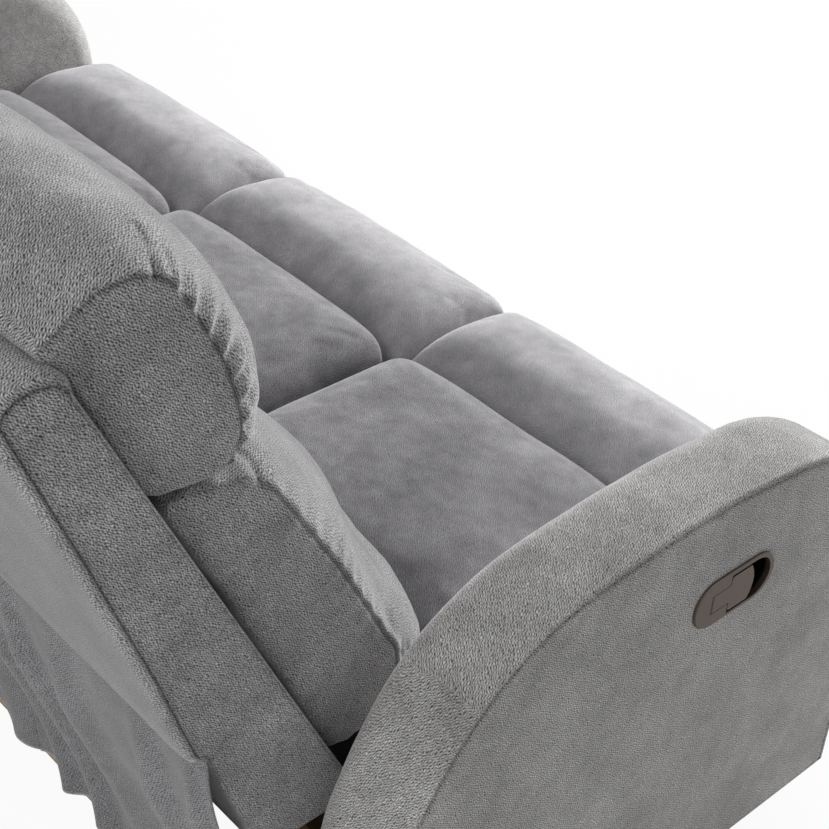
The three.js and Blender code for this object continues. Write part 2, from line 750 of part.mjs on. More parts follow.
// A pin riveted into one bar, with a head beyond the last layer that it passes
function rivet(spot, fromLayer, toLayer) {
  const inward = Math.sign(toLayer - fromLayer);
  const end = layerX(toLayer) - inward * (barThickness / 2 + pinPlay + headThickness);
  const shank = pinX(...spot, pinRadius, layerX(fromLayer), end);
  const head = pinX(...spot, headRadius, end, end + inward * headThickness);
  return joined(shank, head);
}

const mirrored = (geometry) => facingOut(welded(geometry.clone().scale(-1, 1, 1)));

// The two sides of a seat's mechanism, held in step by a rod or tube right across at one spot
function pairOn(half, [y, z], radius, layer) {
  return joined(half, mirrored(half), pinX(y, z, radius, -layerX(layer), layerX(layer)));
}

const tubeShare = 0.24;
const tubeRadius = 7;

function rearTopLinks() {
  const [rear, low] = [spots.rearTop, spots.crossLow];
  const rivets = [rivet(rear, 1, 0), rivet(spots.rearCross, 1, 2), rivet(low, 1, 2)];
  const tube = [0, 1].map((axis) => between(rear[axis], low[axis], tubeShare));
  return pairOn(joined(bar(rear, low, 1, []), ...rivets), tube, tubeRadius, 1);
}

// The rear rod ends in a roller at each side plate, which runs in the slot there
const rollerRadius = 9;
const rollerPlay = 1.2;
const rollerMargin = 3;

function roller() {
  const half = barThickness / 2 + rollerMargin;
  return pinX(...spots.rearLow, rollerRadius, layerX(0) - half, layerX(0) + half);
}

function rearLowLinks() {
  const stub = pinX(...spots.rearLow, pinRadius, layerX(2), layerX(0));
  const link = bar(spots.rearLow, spots.crossTop, 2, [0.5]);
  const half = joined(link, stub, roller(), rivet(spots.crossTop, 2, 1));
  return pairOn(half, spots.rearLow, pinRadius, 2);
}

function frontTopLinks() {
  return pairOn(bar(spots.crossLow, spots.frontTop, 2, [0, 0.5]), spots.frontTop, pinRadius, 2);
}

function frontLowLinks() {
  const half = joined(bar(spots.crossTop, spots.frontLow, 1, [0]), rivet(spots.frontCross, 1, 2));
  return pairOn(half, spots.frontLow, pinRadius, 1);
}

// The stay ties the low end of the tongs to the footrest bracket: two arms with a strap across
const stayReach = 48;
const staySpot = [spots.frontTop[0], spots.frontTop[1] - stayReach];

function footrestStay() {
  const arm = bar(spots.frontLow, staySpot, 4, [0], barWidth - barThickness / 2);
  const [y, z] = [spots.frontLow[0], between(spots.frontLow[1], staySpot[1], 0.5)];
  const halfThick = barThickness / 2;
  const strap = block(-layerX(4), layerX(4), y - halfThick, y + halfThick, z - barWidth, z + barWidth);
  return joined(arm, mirrored(arm), strap);
}

// The footrest: a plywood board with pressed brackets behind it and a padded face
const footrestTop = 372;
const footrestBottom = 92;
const footrestPadDepth = 36;
const footrestBoardDepth = 14;
const footrestBoardInset = 14.5;
const footrestMargin = 13;
const footrestHalf = endSeatHalf - seatSideGap - footrestMargin;
const panelMargin = 3;
const middlePanelHalf = grooveX - seatSideGap - panelMargin;
const footrestBoardFront = seatFront + footrestPadDepth;
const footrestBoardRear = footrestBoardFront + footrestBoardDepth;
const bracketFoot = 48;

// The upright board of a footrest, or of the fixed panel under the middle seat
function footrestLeaf(half) {
  return block(-half, half, footrestBoardFront, footrestBoardRear,
    footrestBottom + footrestBoardInset, footrestTop - footrestBoardInset);
}

function bracket() {
  const [qy, qz] = spots.frontTop;
  const eye = barWidth / 2;
  const root = footrestBoardRear - barThickness / 2;
  const shape = new THREE.Shape();
  shape.moveTo(root, qz + eye);
  shape.lineTo(qy, qz + eye);
  shape.absarc(qy, qz, eye, Math.PI / 2, 0, true);
  shape.lineTo(qy + eye, staySpot[1]);
  shape.absarc(qy, staySpot[1], eye, 0, -Math.PI / 2, true);
  shape.lineTo(root, staySpot[1] - bracketFoot);
  shape.holes.push(roundHole(qy, qz, pinRadius + pinPlay));
  const x = layerX(3);
  const web = board(shape, x - barThickness / 2, x + barThickness / 2);
  const boss = pinX(...staySpot, headRadius - 2 * pinPlay, x, layerX(4) + barThickness / 2 + pinPlay);
  return joined(web, boss);
}

const footrestBoard = () => joined(footrestLeaf(footrestHalf), bracket(), mirrored(bracket()));

const panelShares = [
  [1, 0.02], [1, 0.98], [0.66, 1], [0.34, 0.98], [0.06, 0.9], [0, 0.68], [0, 0.32], [0.06, 0.1],
  [0.34, 0.02], [0.66, 0],
];
const panelPadRear = footrestBoardFront - clearance;
const panelPadOutline = spread(panelShares, [seatFront, footrestBottom], [panelPadRear, footrestTop]);

// The side plate stands on the base rails and carries the seat rail, the tongs and the back hinge
const hingeY = 168;
const hingeZ = 368;
const hingeEye = 15;
const plateFront = 22;
const plateRear = 30;
const plateCorner = 14;
const plateDrop = 8;
const plateFlange = 24;
const plateWindows = 3;
const windowRib = 38;
const windowFoot = 34;
const windowHead = 80;
const windowRound = 18;
const plateLow = railTop + clearance;

// A slot up the plate's front guides the roller as the tongs open. Its low end is open, where the
// roller is fitted, and at its top it has spare length.
const slotSpare = 11;
const slotFlare = 3;
const slotRadius = rollerRadius + rollerPlay;
const slotMouth = spots.rearLow[1] + slotRadius;
const slotTop = tongZ - barLength * Math.sin(foldedAngle - footrestTravel) + slotSpare;

function plateShape() {
  const front = tongY - plateFront;
  const high = frameTop - plateDrop;
  const underSlat = frameTop - slatThickness - clearance;
  const slatFront = seatFrameRear - slatDepth - plateDrop;
  const shape = new THREE.Shape();
  shape.moveTo(tongY + slotRadius, plateLow);
  shape.lineTo(hingeY + plateRear, plateLow);
  shape.lineTo(hingeY + plateRear, plateLow + plateRear);
  shape.lineTo(hingeY + hingeEye, hingeZ);
  shape.absarc(hingeY, hingeZ, hingeEye, 0, Math.PI, false);
  shape.lineTo(hingeY - hingeEye, underSlat);
  shape.lineTo(slatFront, underSlat);
  shape.lineTo(slatFront, high);
  shape.lineTo(front + plateCorner, high);
  shape.lineTo(front, high - plateCorner);
  shape.lineTo(front, slotMouth + slotFlare);
  shape.lineTo(front + slotFlare, slotMouth);
  shape.lineTo(tongY - slotRadius - slotFlare, slotMouth);
  shape.lineTo(tongY - slotRadius, slotMouth + slotFlare);
  shape.absarc(tongY, slotTop, slotRadius, Math.PI, 0, true);
  return shape;
}

function sidePlates(side) {
  const shape = plateShape();
  const hole = pinRadius + pinPlay;
  shape.holes.push(roundHole(...spots.rearTop, hole), roundHole(hingeY, hingeZ, hole));
  const bay = (hingeY - tongY - windowRib) / plateWindows;
  for (let k = 0; k < plateWindows; k++) {
    const y0 = tongY + windowRib + k * bay;
    const [low, high] = [plateLow + windowFoot, frameTop - windowHead];
    shape.holes.push(roundedWindow(y0, y0 + bay - windowRib, low, high, windowRound));
  }
  const web = board(shape, plateX - plateThickness / 2, plateX + plateThickness / 2);
  const [flangeRear, flangeTop] = [midRailY + railDepth, plateLow + plateThickness];
  const flange = block(plateX - plateFlange, plateX, frontRailY, flangeRear, plateLow, flangeTop);
  const half = joined(web, flange);
  const ties = [frontRailY + railDepth, midRailY - tubeRadius]
    .map((y) => pinX(y, plateLow + tubeRadius, tubeRadius, -plateX, plateX));
  return joined(half, mirrored(half), ...ties, catchBlock(side));
}

// The catch block on the outer side plate is where the release cable ends
const catchY = -236;
const catchZ = 296;
const catchHalf = 17;
const catchDepth = 16;

function catchBlock(side) {
  const [low, high, middle] = [-catchHalf, catchHalf, catchHalf / 2];
  const outline = [[low, low], [high, low], [high, middle], [middle, high], [low, high]]
    .map(([y, z]) => [catchY + y, catchZ + z]);
  return board(polygon(outline), ...span(side, plateX - catchDepth, plateX));
}

// The back bracket turns on the plate's rear eye and is bolted to the foot of the back's ladder
const strapThickness = 3.6;
const strapInset = 8;

function backBrackets() {
  const low = backFoot.z + strapInset;
  const high = lumbarBase - strapInset / 2;
  const onLadder = (z, offset) => [alongFront(z) - offset, z];
  const shape = new THREE.Shape();
  shape.absarc(hingeY, hingeZ, hingeEye, Math.PI / 2, Math.PI * 1.5, false);
  shape.lineTo(...onLadder(low, strapThickness / 2));
  shape.lineTo(...onLadder(high, strapThickness / 2));
  const x = layerX(1);
  const web = board(shape, x - barThickness / 2, x + barThickness / 2);
  const half = joined(web, rivet([hingeY, hingeZ], 1, 0));
  const strap = polygon([
    onLadder(low, strapThickness + clearance), onLadder(low, clearance),
    onLadder(high, clearance), onLadder(high, strapThickness + clearance),
  ]);
  return joined(half, mirrored(half), board(strap, -x - barThickness / 2, x + barThickness / 2));
}

// The middle seat is fixed: its frame, posts, front panel and back ladder are one glued carcass
const postDepth = 60;
const braceThickness = 22;

function postPair(y, depth, z0, z1) {
  return [-1, 1].map((s) => block(...span(s, middleFrameInner, middleFrameOuter), y, y + depth, z0, z1));
}

function middleCarcass() {
  const low = railTop + clearance;
  const head = frameTop - frameDepth / 2;
  const posts = [
    ...postPair(frontRailY, postDepth, low, head),
    ...postPair(midRailY - postDepth / 2, postDepth, low, head),
    ...postPair(seatFrameFront, frameDepth, low, head),
    ...postPair(seatFrameFront, frontRailY - seatFrameFront + postDepth, low, low + frameDepth),
    ...postPair(midRailY, rearRailY + railDepth - midRailY, low, low + frameDepth),
  ];
  const half = grooveX - seatSideGap - casingWall - clearance;
  const kneeZ = ladderFoot + 2 * frameDepth;
  const brace = polygon([
    [midRailY, low], [rearRailY, low + frameDepth / 2],
    [alongFront(ladderFoot) + ladderThickness, ladderFoot + frameDepth],
    [alongFront(kneeZ) + ladderThickness, kneeZ], [alongFront(kneeZ) + clearance, kneeZ],
    [alongFront(ladderFoot) + clearance, ladderFoot], [midRailY, ladderFoot - strapInset],
  ]);
  const braces = [-1, 1].map((s) => board(brace, ...span(s, half - braceThickness, half)));
  const webs = [-1, 1].map((s) => block(...span(s, middleFrameInner, middleFrameOuter),
    footrestBoardRear - barThickness / 2, seatFrameFront + slatDepth, low, head));
  return joined(seatFrame(middleFrameInner, middleFrameOuter), ...posts, ...braces, ...webs,
    footrestLeaf(middlePanelHalf), backLadder(grooveX - seatSideGap));
}

// The cable keeps one route from the latch cup, down inside the arm and through its frame, to the
// catch block. Each row gives its shares of the way inwards, forwards and down.
const cableRadius = 3;
const cableSteps = 26;
const cableArmShares = [
  [0, 0, 0], [0.079, 0, 0], [0.214, 0, 0.038], [0.276, 0, 0.19], [0.296, 0.12, 0.476],
  [0.317, 0.51, 0.762], [0.47, 0.92, 0.914], [0.694, 1, 0.99], [1, 1, 1],
];
const cableCatchShares = [[0.276, 0.21, -0.214], [0.552, 0.393, 1.714], [0.732, 1, 1], [1, 1, 1]];
const cableRise = 12;

function releaseCable(side) {
  const leg = (from, to, shares) => shares
    .map((row) => new THREE.Vector3(...row.map((share, k) => between(from[k], to[k], share))));
  const cup = [side * (armOuter - cupDepth - clearance), latchY + cableRise, latchZ];
  const hole = [side * armInner, cableHole.y, cableHole.z];
  const catchX = endSeatX + plateX + plateThickness / 2 + clearance;
  const catchEnd = [side * catchX, catchY + cableRadius, catchZ];
  const route = [...leg(cup, hole, cableArmShares), ...leg(hole, catchEnd, cableCatchShares)];
  const path = new THREE.CatmullRomCurve3(route, false, 'centripetal');
  const section = new THREE.Shape().absarc(0, 0, cableRadius, 0, Math.PI * 2, false);
  const options = { extrudePath: path, steps: cableSteps, curveSegments: 4, bevelEnabled: false };
  return new THREE.ExtrudeGeometry(section, options);
}

// Assembly

const hands = [['right', -1], ['left', 1]];
const footX = armOuter - armWidth / 2;
for (const [name, side] of hands) {
  place(body, `${name}_arm_cover`, armCover(side), 'weave');
  place(body, `${name}_arm_frame`, armFrame(side), 'timber');
  place(body, `${name}_latch_bezel`, latchBezel(side), 'bronze');
  place(body, `${name}_latch_pull`, latchPull(side), 'bronze');
  place(body, `${name}_release_cable`, releaseCable(side), 'blackPlastic');
  place(body, `${name}_front_foot`, foot(side * footX, armBlockFront), 'blackPlastic');
  place(body, `${name}_rear_foot`, foot(side * footX, armBlockRear), 'blackPlastic');
}
place(body, 'base_frame', baseFrame(), 'timber');

function seatUnit(name, x, half, backHalf) {
  const unit = new THREE.Group();
  unit.position.x = x;
  const padHalf = half - seatSideGap;
  const cushionHalf = backHalf - pillowInset;
  const seated = (front, rear) => new THREE.Vector2(between(front, rear, 0.5), seatBase);
  const leant = (z) => new THREE.Vector2(alongFront(z) - cushionGap, z);
  const fronted = new THREE.Vector2(panelPadRear, between(footrestBottom, footrestTop, 0.5));
  const lumbarCentre = leant(between(lumbarBase, lumbarTop, 0.5));
  const pillowCentre = leant(between(pillowBase, pillowTop, 0.5));
  const panelName = name === 'middle' ? 'middle_front_panel' : `${name}_footrest_pad`;
  const seatCushion = pad(seatCushionOutline, padHalf, seated(channelY, cushionRear));
  place(unit, `${name}_seat_cushion`, seatCushion, 'weave');
  place(unit, `${name}_front_pad`, pad(frontPadOutline, padHalf, seated(seatFront, channelY)), 'weave');
  place(unit, `${name}_lumbar_cushion`, pad(lumbarOutline, cushionHalf, lumbarCentre), 'weave');
  place(unit, `${name}_head_pillow`, pad(pillowOutline, cushionHalf, pillowCentre), 'weave');
  place(unit, `${name}_back_casing`, backCasing(backHalf), 'weave');
  place(unit, `${name}_rear_flap`, rearFlap(backHalf), 'weave');
  place(unit, panelName, pad(panelPadOutline, padHalf, fronted), 'weave');
  body.add(unit);
  return unit;
}

const middle = seatUnit('middle', 0, grooveX, grooveX - seatSideGap);
place(middle, 'middle_carcass', middleCarcass(), 'timber');
place(middle, 'middle_seat_springs', springs(middleFrameInner), 'springSteel');

for (const [name, side] of hands) {
  const unit = seatUnit(name, side * endSeatX, endSeatHalf, endSeatHalf - backSideGap);
  place(unit, `${name}_seat_frame`, endSeatFrame(), 'timber');
  place(unit, `${name}_seat_springs`, springs(endFrameInner), 'springSteel');
  place(unit, `${name}_back_ladder`, backLadder(endSeatHalf - backSideGap), 'timber');
  place(unit, `${name}_back_brackets`, backBrackets(), 'darkSteel');
  place(unit, `${name}_side_plates`, sidePlates(side), 'darkSteel');
  place(unit, `${name}_rear_top_links`, rearTopLinks(), 'darkSteel');
  place(unit, `${name}_rear_low_links`, rearLowLinks(), 'darkSteel');
  place(unit, `${name}_front_top_links`, frontTopLinks(), 'darkSteel');
  place(unit, `${name}_front_low_links`, frontLowLinks(), 'darkSteel');
  place(unit, `${name}_footrest_stay`, footrestStay(), 'darkSteel');
  place(unit, `${name}_footrest_board`, footrestBoard(), 'timber');
}

// The model's own origin is under the middle of its depth
const extent = new THREE.Box3().setFromObject(body);
body.position.y = -(extent.min.y + extent.max.y) / 2;

export default sofa;
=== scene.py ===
import json
import math
import bmesh
import bpy
import numpy as np
from mathutils import Matrix, Vector, kdtree, noise


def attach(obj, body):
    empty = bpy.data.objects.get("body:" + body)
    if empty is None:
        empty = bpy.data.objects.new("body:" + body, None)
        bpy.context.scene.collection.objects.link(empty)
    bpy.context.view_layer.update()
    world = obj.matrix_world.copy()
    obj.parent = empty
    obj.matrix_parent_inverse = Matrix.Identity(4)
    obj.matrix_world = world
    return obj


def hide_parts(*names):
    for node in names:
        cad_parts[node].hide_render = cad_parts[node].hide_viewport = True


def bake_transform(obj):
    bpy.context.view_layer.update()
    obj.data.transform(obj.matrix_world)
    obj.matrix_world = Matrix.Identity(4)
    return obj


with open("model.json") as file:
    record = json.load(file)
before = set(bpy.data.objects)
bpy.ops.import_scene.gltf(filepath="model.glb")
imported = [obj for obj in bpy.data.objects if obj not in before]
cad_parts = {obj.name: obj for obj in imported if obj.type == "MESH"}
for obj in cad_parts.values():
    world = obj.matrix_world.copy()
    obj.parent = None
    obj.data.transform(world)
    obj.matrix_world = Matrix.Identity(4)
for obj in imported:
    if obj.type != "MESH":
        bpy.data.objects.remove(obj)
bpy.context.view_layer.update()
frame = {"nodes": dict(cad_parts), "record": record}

# Camera: behind and above the sitter's right end of the sofa, looking down across the backs and
# seats to the far end. Its place, turn and lens are solved from edges seen in the photograph.
yaw, pitch, roll = (math.radians(a) for a in (46.794, 35.787, 3.008))
eye = (-1.6445, 0.96105, 1.6760)
focal_length, sensor_width = 73.64, 36
frame_pixels = 829
ahead = Vector((math.sin(yaw) * math.cos(pitch), -math.cos(yaw) * math.cos(pitch),
                -math.sin(pitch)))
level = ahead.cross(Vector((0, 0, 1))).normalized()
upright = level.cross(ahead)
right = level * math.cos(roll) + upright * math.sin(roll)
above = upright * math.cos(roll) - level * math.sin(roll)
lens = bpy.data.cameras.new("camera")
lens.lens, lens.sensor_width, lens.clip_start = focal_length, sensor_width, 0.05
lens.shift_y = -0.5 / frame_pixels
camera = bpy.data.objects.new("camera", lens)
turn = Matrix((right, above, -ahead)).transposed().to_4x4()
camera.matrix_world = Matrix.Translation(eye) @ turn
bpy.context.scene.collection.objects.link(camera)
bpy.context.scene.camera = camera
bpy.context.scene.view_settings.view_transform = "Standard"

# Light: a white studio. One strong round bank stands in front of the sofa, weaker ones hang above
# it and stand behind its back and at its near end, and the walls give an even fill.
fill_colour, fill_strength = (1, 0.99, 1, 1), 0.16
wall_colour, wall_strength = (1, 1, 1, 1), 1.0
aim = Vector((0, 0, 0.4))
banks = (("front_bank", (0.6, -3.4, 1.5), 2.2, 150), ("top_bank", (0.2, -0.5, 3.1), 2.2, 9),
         ("rear_bank", (-1.2, 2.9, 1.9), 2.2, 34), ("side_bank", (-3.4, -1.2, 1.5), 1.8, 7))


def added(tree, kind, operation=None, **values):
    """A new shader node, with its operation and the values of its named inputs."""
    node = tree.nodes.new(kind)
    if operation:
        node.operation = operation
    for name, value in values.items():
        node.inputs[name.replace("_", " ")].default_value = value
    return node


def joined(tree, *pairs):
    """Each output is linked to the input beside it."""
    for output, socket in pairs:
        tree.links.new(output, socket)


world = bpy.data.worlds.new("studio")
bpy.context.scene.world = world
world.use_nodes = True
tree = world.node_tree
tree.nodes.clear()
rays = added(tree, "ShaderNodeLightPath")
seen = added(tree, "ShaderNodeMath", "MAXIMUM")
clear = added(tree, "ShaderNodeMath", "MAXIMUM")
fill = added(tree, "ShaderNodeBackground", Color=fill_colour, Strength=fill_strength)
wall = added(tree, "ShaderNodeBackground", Color=wall_colour, Strength=wall_strength)
mixed = added(tree, "ShaderNodeMixShader")
out = added(tree, "ShaderNodeOutputWorld")
joined(tree,
       (rays.outputs["Is Camera Ray"], seen.inputs[0]),
       (rays.outputs["Is Glossy Ray"], seen.inputs[1]),
       (seen.outputs[0], clear.inputs[0]),
       (rays.outputs["Is Transmission Ray"], clear.inputs[1]),
       (clear.outputs[0], mixed.inputs["Fac"]),
       (fill.outputs[0], mixed.inputs[1]),
       (wall.outputs[0], mixed.inputs[2]),
       (mixed.outputs[0], out.inputs["Surface"]))
for name, place, width, power in banks:
    bank = bpy.data.lights.new(name, "AREA")
    bank.shape, bank.size, bank.energy = "DISK", width, power
    lamp = bpy.data.objects.new(name, bank)
    lamp.location = place
    lamp.rotation_euler = (aim - Vector(place)).to_track_quat("-Z", "Y").to_euler()
    bpy.context.scene.collection.objects.link(lamp)

# Floor: one plain pale sheet, matt so that it takes the sofa's shadow. Where the camera sees it,
# it is nearly as bright as the white wall.
floor_half = 6
floor_grey, wall_share = (0.86, 0.86, 0.86, 1), 0.94
bm = bmesh.new()
bmesh.ops.create_grid(bm, x_segments=1, y_segments=1, size=floor_half)
mesh = bpy.data.meshes.new("floor")
bm.to_mesh(mesh)
bm.free()
floor = bpy.data.objects.new("floor", mesh)
bpy.context.scene.collection.objects.link(floor)
pale = bpy.data.materials.new("pale_floor")
pale.use_nodes = True
tree = pale.node_tree
tree.nodes.clear()
matt = added(tree, "ShaderNodeBsdfDiffuse", Color=floor_grey)
glow = added(tree, "ShaderNodeEmission", Strength=1.0)
rays = added(tree, "ShaderNodeLightPath")
share = added(tree, "ShaderNodeMath", "MULTIPLY")
share.inputs[1].default_value = wall_share
mixed = added(tree, "ShaderNodeMixShader")
out = added(tree, "ShaderNodeOutputMaterial")
joined(tree,
       (rays.outputs["Is Camera Ray"], share.inputs[0]),
       (share.outputs[0], mixed.inputs["Fac"]),
       (matt.outputs[0], mixed.inputs[1]),
       (glow.outputs[0], mixed.inputs[2]),
       (mixed.outputs[0], out.inputs["Surface"]))
floor.data.materials.append(pale)

# Upholstery fabric: a soft grey chenille. Its thick yarns make a fine diagonal twill, and its nap
# has been brushed one way and the other in patches, so it sheens where it turns away.
twill_pitch, cross_pitch = 0.0024, 0.0026
yarn_wander = 0.006
pile_height = 0.0006
seam_shade_strength, deepest_tone = 0.75, 0.12


def fabric(name, tint, mottle, grain, sheen):
    """Cloth of one tint. Mottle is how far its nap is brushed, grain how far its weave shows."""
    material = bpy.data.materials.new(name)
    material.use_nodes = True
    tree = material.node_tree
    shader = tree.nodes["Principled BSDF"]
    shader.inputs["Roughness"].default_value = 0.92
    shader.inputs["Specular IOR Level"].default_value = 0.12
    shader.inputs["Sheen Weight"].default_value = sheen
    shader.inputs["Sheen Roughness"].default_value = 0.4
    shader.inputs["Sheen Tint"].default_value = (1.0, 0.99, 0.99, 1)
    place = added(tree, "ShaderNodeTexCoord")
    laid = added(tree, "ShaderNodeUVMap")
    laid.uv_map = "weave"
    axes = added(tree, "ShaderNodeSeparateXYZ")
    tree.links.new(laid.outputs[0], axes.inputs[0])

    def value(operation, *given):
        node = added(tree, "ShaderNodeMath", operation)
        for socket, item in zip(node.inputs, given):
            if isinstance(item, (int, float)):
                socket.default_value = item
            else:
                tree.links.new(item, socket)
        return node.outputs[0]

    def cloud(scale, detail, amount):
        node = added(tree, "ShaderNodeTexNoise", Scale=scale, Detail=detail)
        tree.links.new(place.outputs["Object"], node.inputs["Vector"])
        return value("MULTIPLY", value("SUBTRACT", node.outputs["Fac"], 0.5), amount)

    def rows(across, along, pitch, amount):
        run = value("MULTIPLY_ADD", axes.outputs[0], across,
                    value("MULTIPLY", axes.outputs[1], along))
        turn = value("MULTIPLY", value("ADD", run, stray), 2 * math.pi / pitch)
        return value("MULTIPLY", value("SINE", turn), amount)

    stray = cloud(scale=140, detail=2, amount=yarn_wander)
    ribs = value("ADD", rows(across=0.6, along=0.8, pitch=twill_pitch, amount=0.5),
                 rows(across=1, along=0.3, pitch=cross_pitch, amount=0.4))
    yarn = value("ADD", ribs, cloud(scale=520, detail=2, amount=2.6))
    patches = value("ADD", cloud(scale=14, detail=4, amount=5 * mottle),
                    cloud(scale=55, detail=3, amount=3 * mottle))
    # The seam mark darkens the cloth along seams, stitching and pleats: painted shade, standing in
    # for the shade in their grooves and creases.
    seam = added(tree, "ShaderNodeAttribute")
    seam.attribute_name = "seam"
    groove_shade = value("MULTIPLY_ADD", seam.outputs["Fac"], -seam_shade_strength, 1)
    weave = value("MAXIMUM", value("MULTIPLY_ADD", yarn, grain, 1), deepest_tone)
    tone = value("MULTIPLY", value("ADD", patches, 1), weave)
    dyed = added(tree, "ShaderNodeVectorMath", "SCALE")
    dyed.inputs[0].default_value = tint
    pile = added(tree, "ShaderNodeBump", Strength=0.35, Distance=pile_height * grain)
    joined(tree,
           (value("MULTIPLY", tone, groove_shade), dyed.inputs["Scale"]),
           (dyed.outputs[0], shader.inputs["Base Color"]),
           (yarn, pile.inputs["Height"]),
           (pile.outputs[0], shader.inputs["Normal"]))
    return material


# One chenille, tinted per kind of piece: the front rolls much lighter, the arms lighter and the
# backs darker than the seats. These differences are painted light and shade for how the light falls
# on each.
seat_cloth = fabric("seat_chenille", (0.298, 0.291, 0.305), mottle=0.22, grain=0.42, sheen=0.6)
roll_cloth = fabric("roll_chenille", (0.520, 0.509, 0.530), mottle=0.18, grain=0.30, sheen=0.7)
back_cloth = fabric("back_chenille", (0.356, 0.350, 0.357), mottle=0.18, grain=1.0, sheen=1.0)
arm_cloth = fabric("arm_chenille", (0.440, 0.434, 0.424), mottle=0.16, grain=0.85, sheen=0.6)
flap_cloth = fabric("flap_chenille", (0.300, 0.294, 0.304), mottle=0.15, grain=0.80, sheen=1.0)

# Seat cushions: three foam cushions under one pulled cover each, full to their crisp edges, with
# a front edge that bows over the channel. They fill by air pressure in a cloth.
seat_pitch = 0.5075
seats = (("right", -seat_pitch, "right_back"), ("middle", 0.0, "sofa"),
         ("left", seat_pitch, "left_back"))
seat_half, middle_seat_share = 0.2562, 0.947
seat_base, seat_rise, pulled_under = 0.358, 0.088, 0.365
crown_fall, edge_fall, edge_round = 0.006, 0.036, 0.042
front_bow, corner_tuck, rear_fall = 0.018, 0.010, 0.008
seat_room = (-0.2567, -0.3225, 0.3583), (0.2567, 0.0372, 0.450)
form_grid, seat_swell, seat_pressure = 0.006, 0.003, 3.0
drawn_from = 0.05375
station_angles = (0, 20, 40, 52, 62, 70, 76, 80, 83, 85, 86.5, 88, 89.2, 90)
stations = [1 - math.cos(a) for a in np.radians(station_angles)]
stations = [-t for t in stations[:0:-1]] + stations
end_power = 30


def at(y, z):
    """Outlines are drawn in millimetres, from a line in front of the frame's middle."""
    return (y / 1000 - drawn_from, z / 1000)


def ramp(value, start, length):
    """0 up to start, 1 from start + length, and a straight rise between."""
    return min(1.0, max(0.0, (value - start) / length))


def curved(a, b, c, d, t):
    """The point at share t of the way from b to c, on a curve through all four."""
    return 0.5 * (2 * b + (c - a) * t + (2 * a - 5 * b + 4 * c - d) * t * t
                  + (3 * b - a - 3 * c + d) * t ** 3)


def smooth(points, gap=0.006, between=12):
    """A closed outline of (y, z), rounded between its points and evenly spaced."""
    p = np.array(points, float)
    n = len(p)
    fine = [curved(p[i - 1], p[i], p[(i + 1) % n], p[(i + 2) % n], t)
            for i in range(n) for t in np.linspace(0, 1, between, endpoint=False)]
    fine = np.array(fine + [fine[0]])
    run = np.concatenate([[0], np.cumsum(np.hypot(*np.diff(fine, axis=0).T))])
    steps = np.linspace(0, run[-1], int(run[-1] / gap), endpoint=False)
    return np.column_stack([np.interp(steps, run, fine[:, k]) for k in (0, 1)])


def skin(name, rings):
    """A closed skin through rings of the same number of points, bridged one to the next."""
    bm = bmesh.new()
    loops = []
    for ring in rings:
        verts = [bm.verts.new(p) for p in ring]
        edges = [bm.edges.new((verts[i - 1], verts[i])) for i in range(len(verts))]
        loops.append((verts, edges))
    for (_, near), (_, far) in zip(loops, loops[1:]):
        bmesh.ops.bridge_loops(bm, edges=near + far)
    for verts, _ in (loops[0], loops[-1]):
        bm.faces.new(verts)
    bmesh.ops.recalc_face_normals(bm, faces=bm.faces)
    mesh = bpy.data.meshes.new(name)
    bm.to_mesh(mesh)
    bm.free()
    piece = bpy.data.objects.new(name, mesh)
    bpy.context.scene.collection.objects.link(piece)
    return piece


def settle(piece):
    """The piece's modifiers become its mesh."""
    view = bpy.context.evaluated_depsgraph_get()
    mesh = bpy.data.meshes.new_from_object(piece.evaluated_get(view))
    piece.modifiers.clear()
    piece.data = mesh
    return piece


def evened(piece, size):
    """The piece is meshed again in even squares of this size."""
    remesh = piece.modifiers.new("even", "REMESH")
    remesh.mode, remesh.voxel_size = "VOXEL", size
    return settle(piece)


def shaded_smooth(piece, most_corners=4):
    """Faces with up to this many corners shade as one curve."""
    for face in piece.data.polygons:
        face.use_smooth = len(face.vertices) <= most_corners


def refined(piece):
    finer = piece.modifiers.new("finer", "SUBSURF")
    finer.levels = finer.render_levels = 1
    settle(piece)
    shaded_smooth(piece)
    return piece


def points_of(piece, kind="co"):
    co = np.empty(len(piece.data.vertices) * 3, np.float32)
    piece.data.vertices.foreach_get(kind, co)
    return co.reshape(-1, 3).astype(float)


def move_to(piece, co):
    piece.data.vertices.foreach_set("co", np.asarray(co, np.float32).ravel())
    piece.data.update()


def woven(piece, cloth):
    """The piece takes its cloth. The weave's flat coordinates lie on each side, in metres."""
    mesh = piece.data
    corner = np.empty(len(mesh.loops), np.int32)
    mesh.loops.foreach_get("vertex_index", corner)
    corners = np.empty(len(mesh.polygons), np.int32)
    mesh.polygons.foreach_get("loop_total", corners)
    facing = np.empty(3 * len(corners), np.float32)
    mesh.polygons.foreach_get("normal", facing)
    side = np.repeat(np.abs(facing.reshape(-1, 3)).argmax(axis=1), corners)
    across = np.array([(1, 2), (0, 2), (0, 1)])[side]
    flat = np.take_along_axis(points_of(piece)[corner], across, axis=1)
    flat[side == 0, 1] *= -1
    mesh.uv_layers.new(name="weave").data.foreach_set("uv", flat.astype(np.float32).ravel())
    mesh.materials.clear()
    mesh.materials.append(cloth)


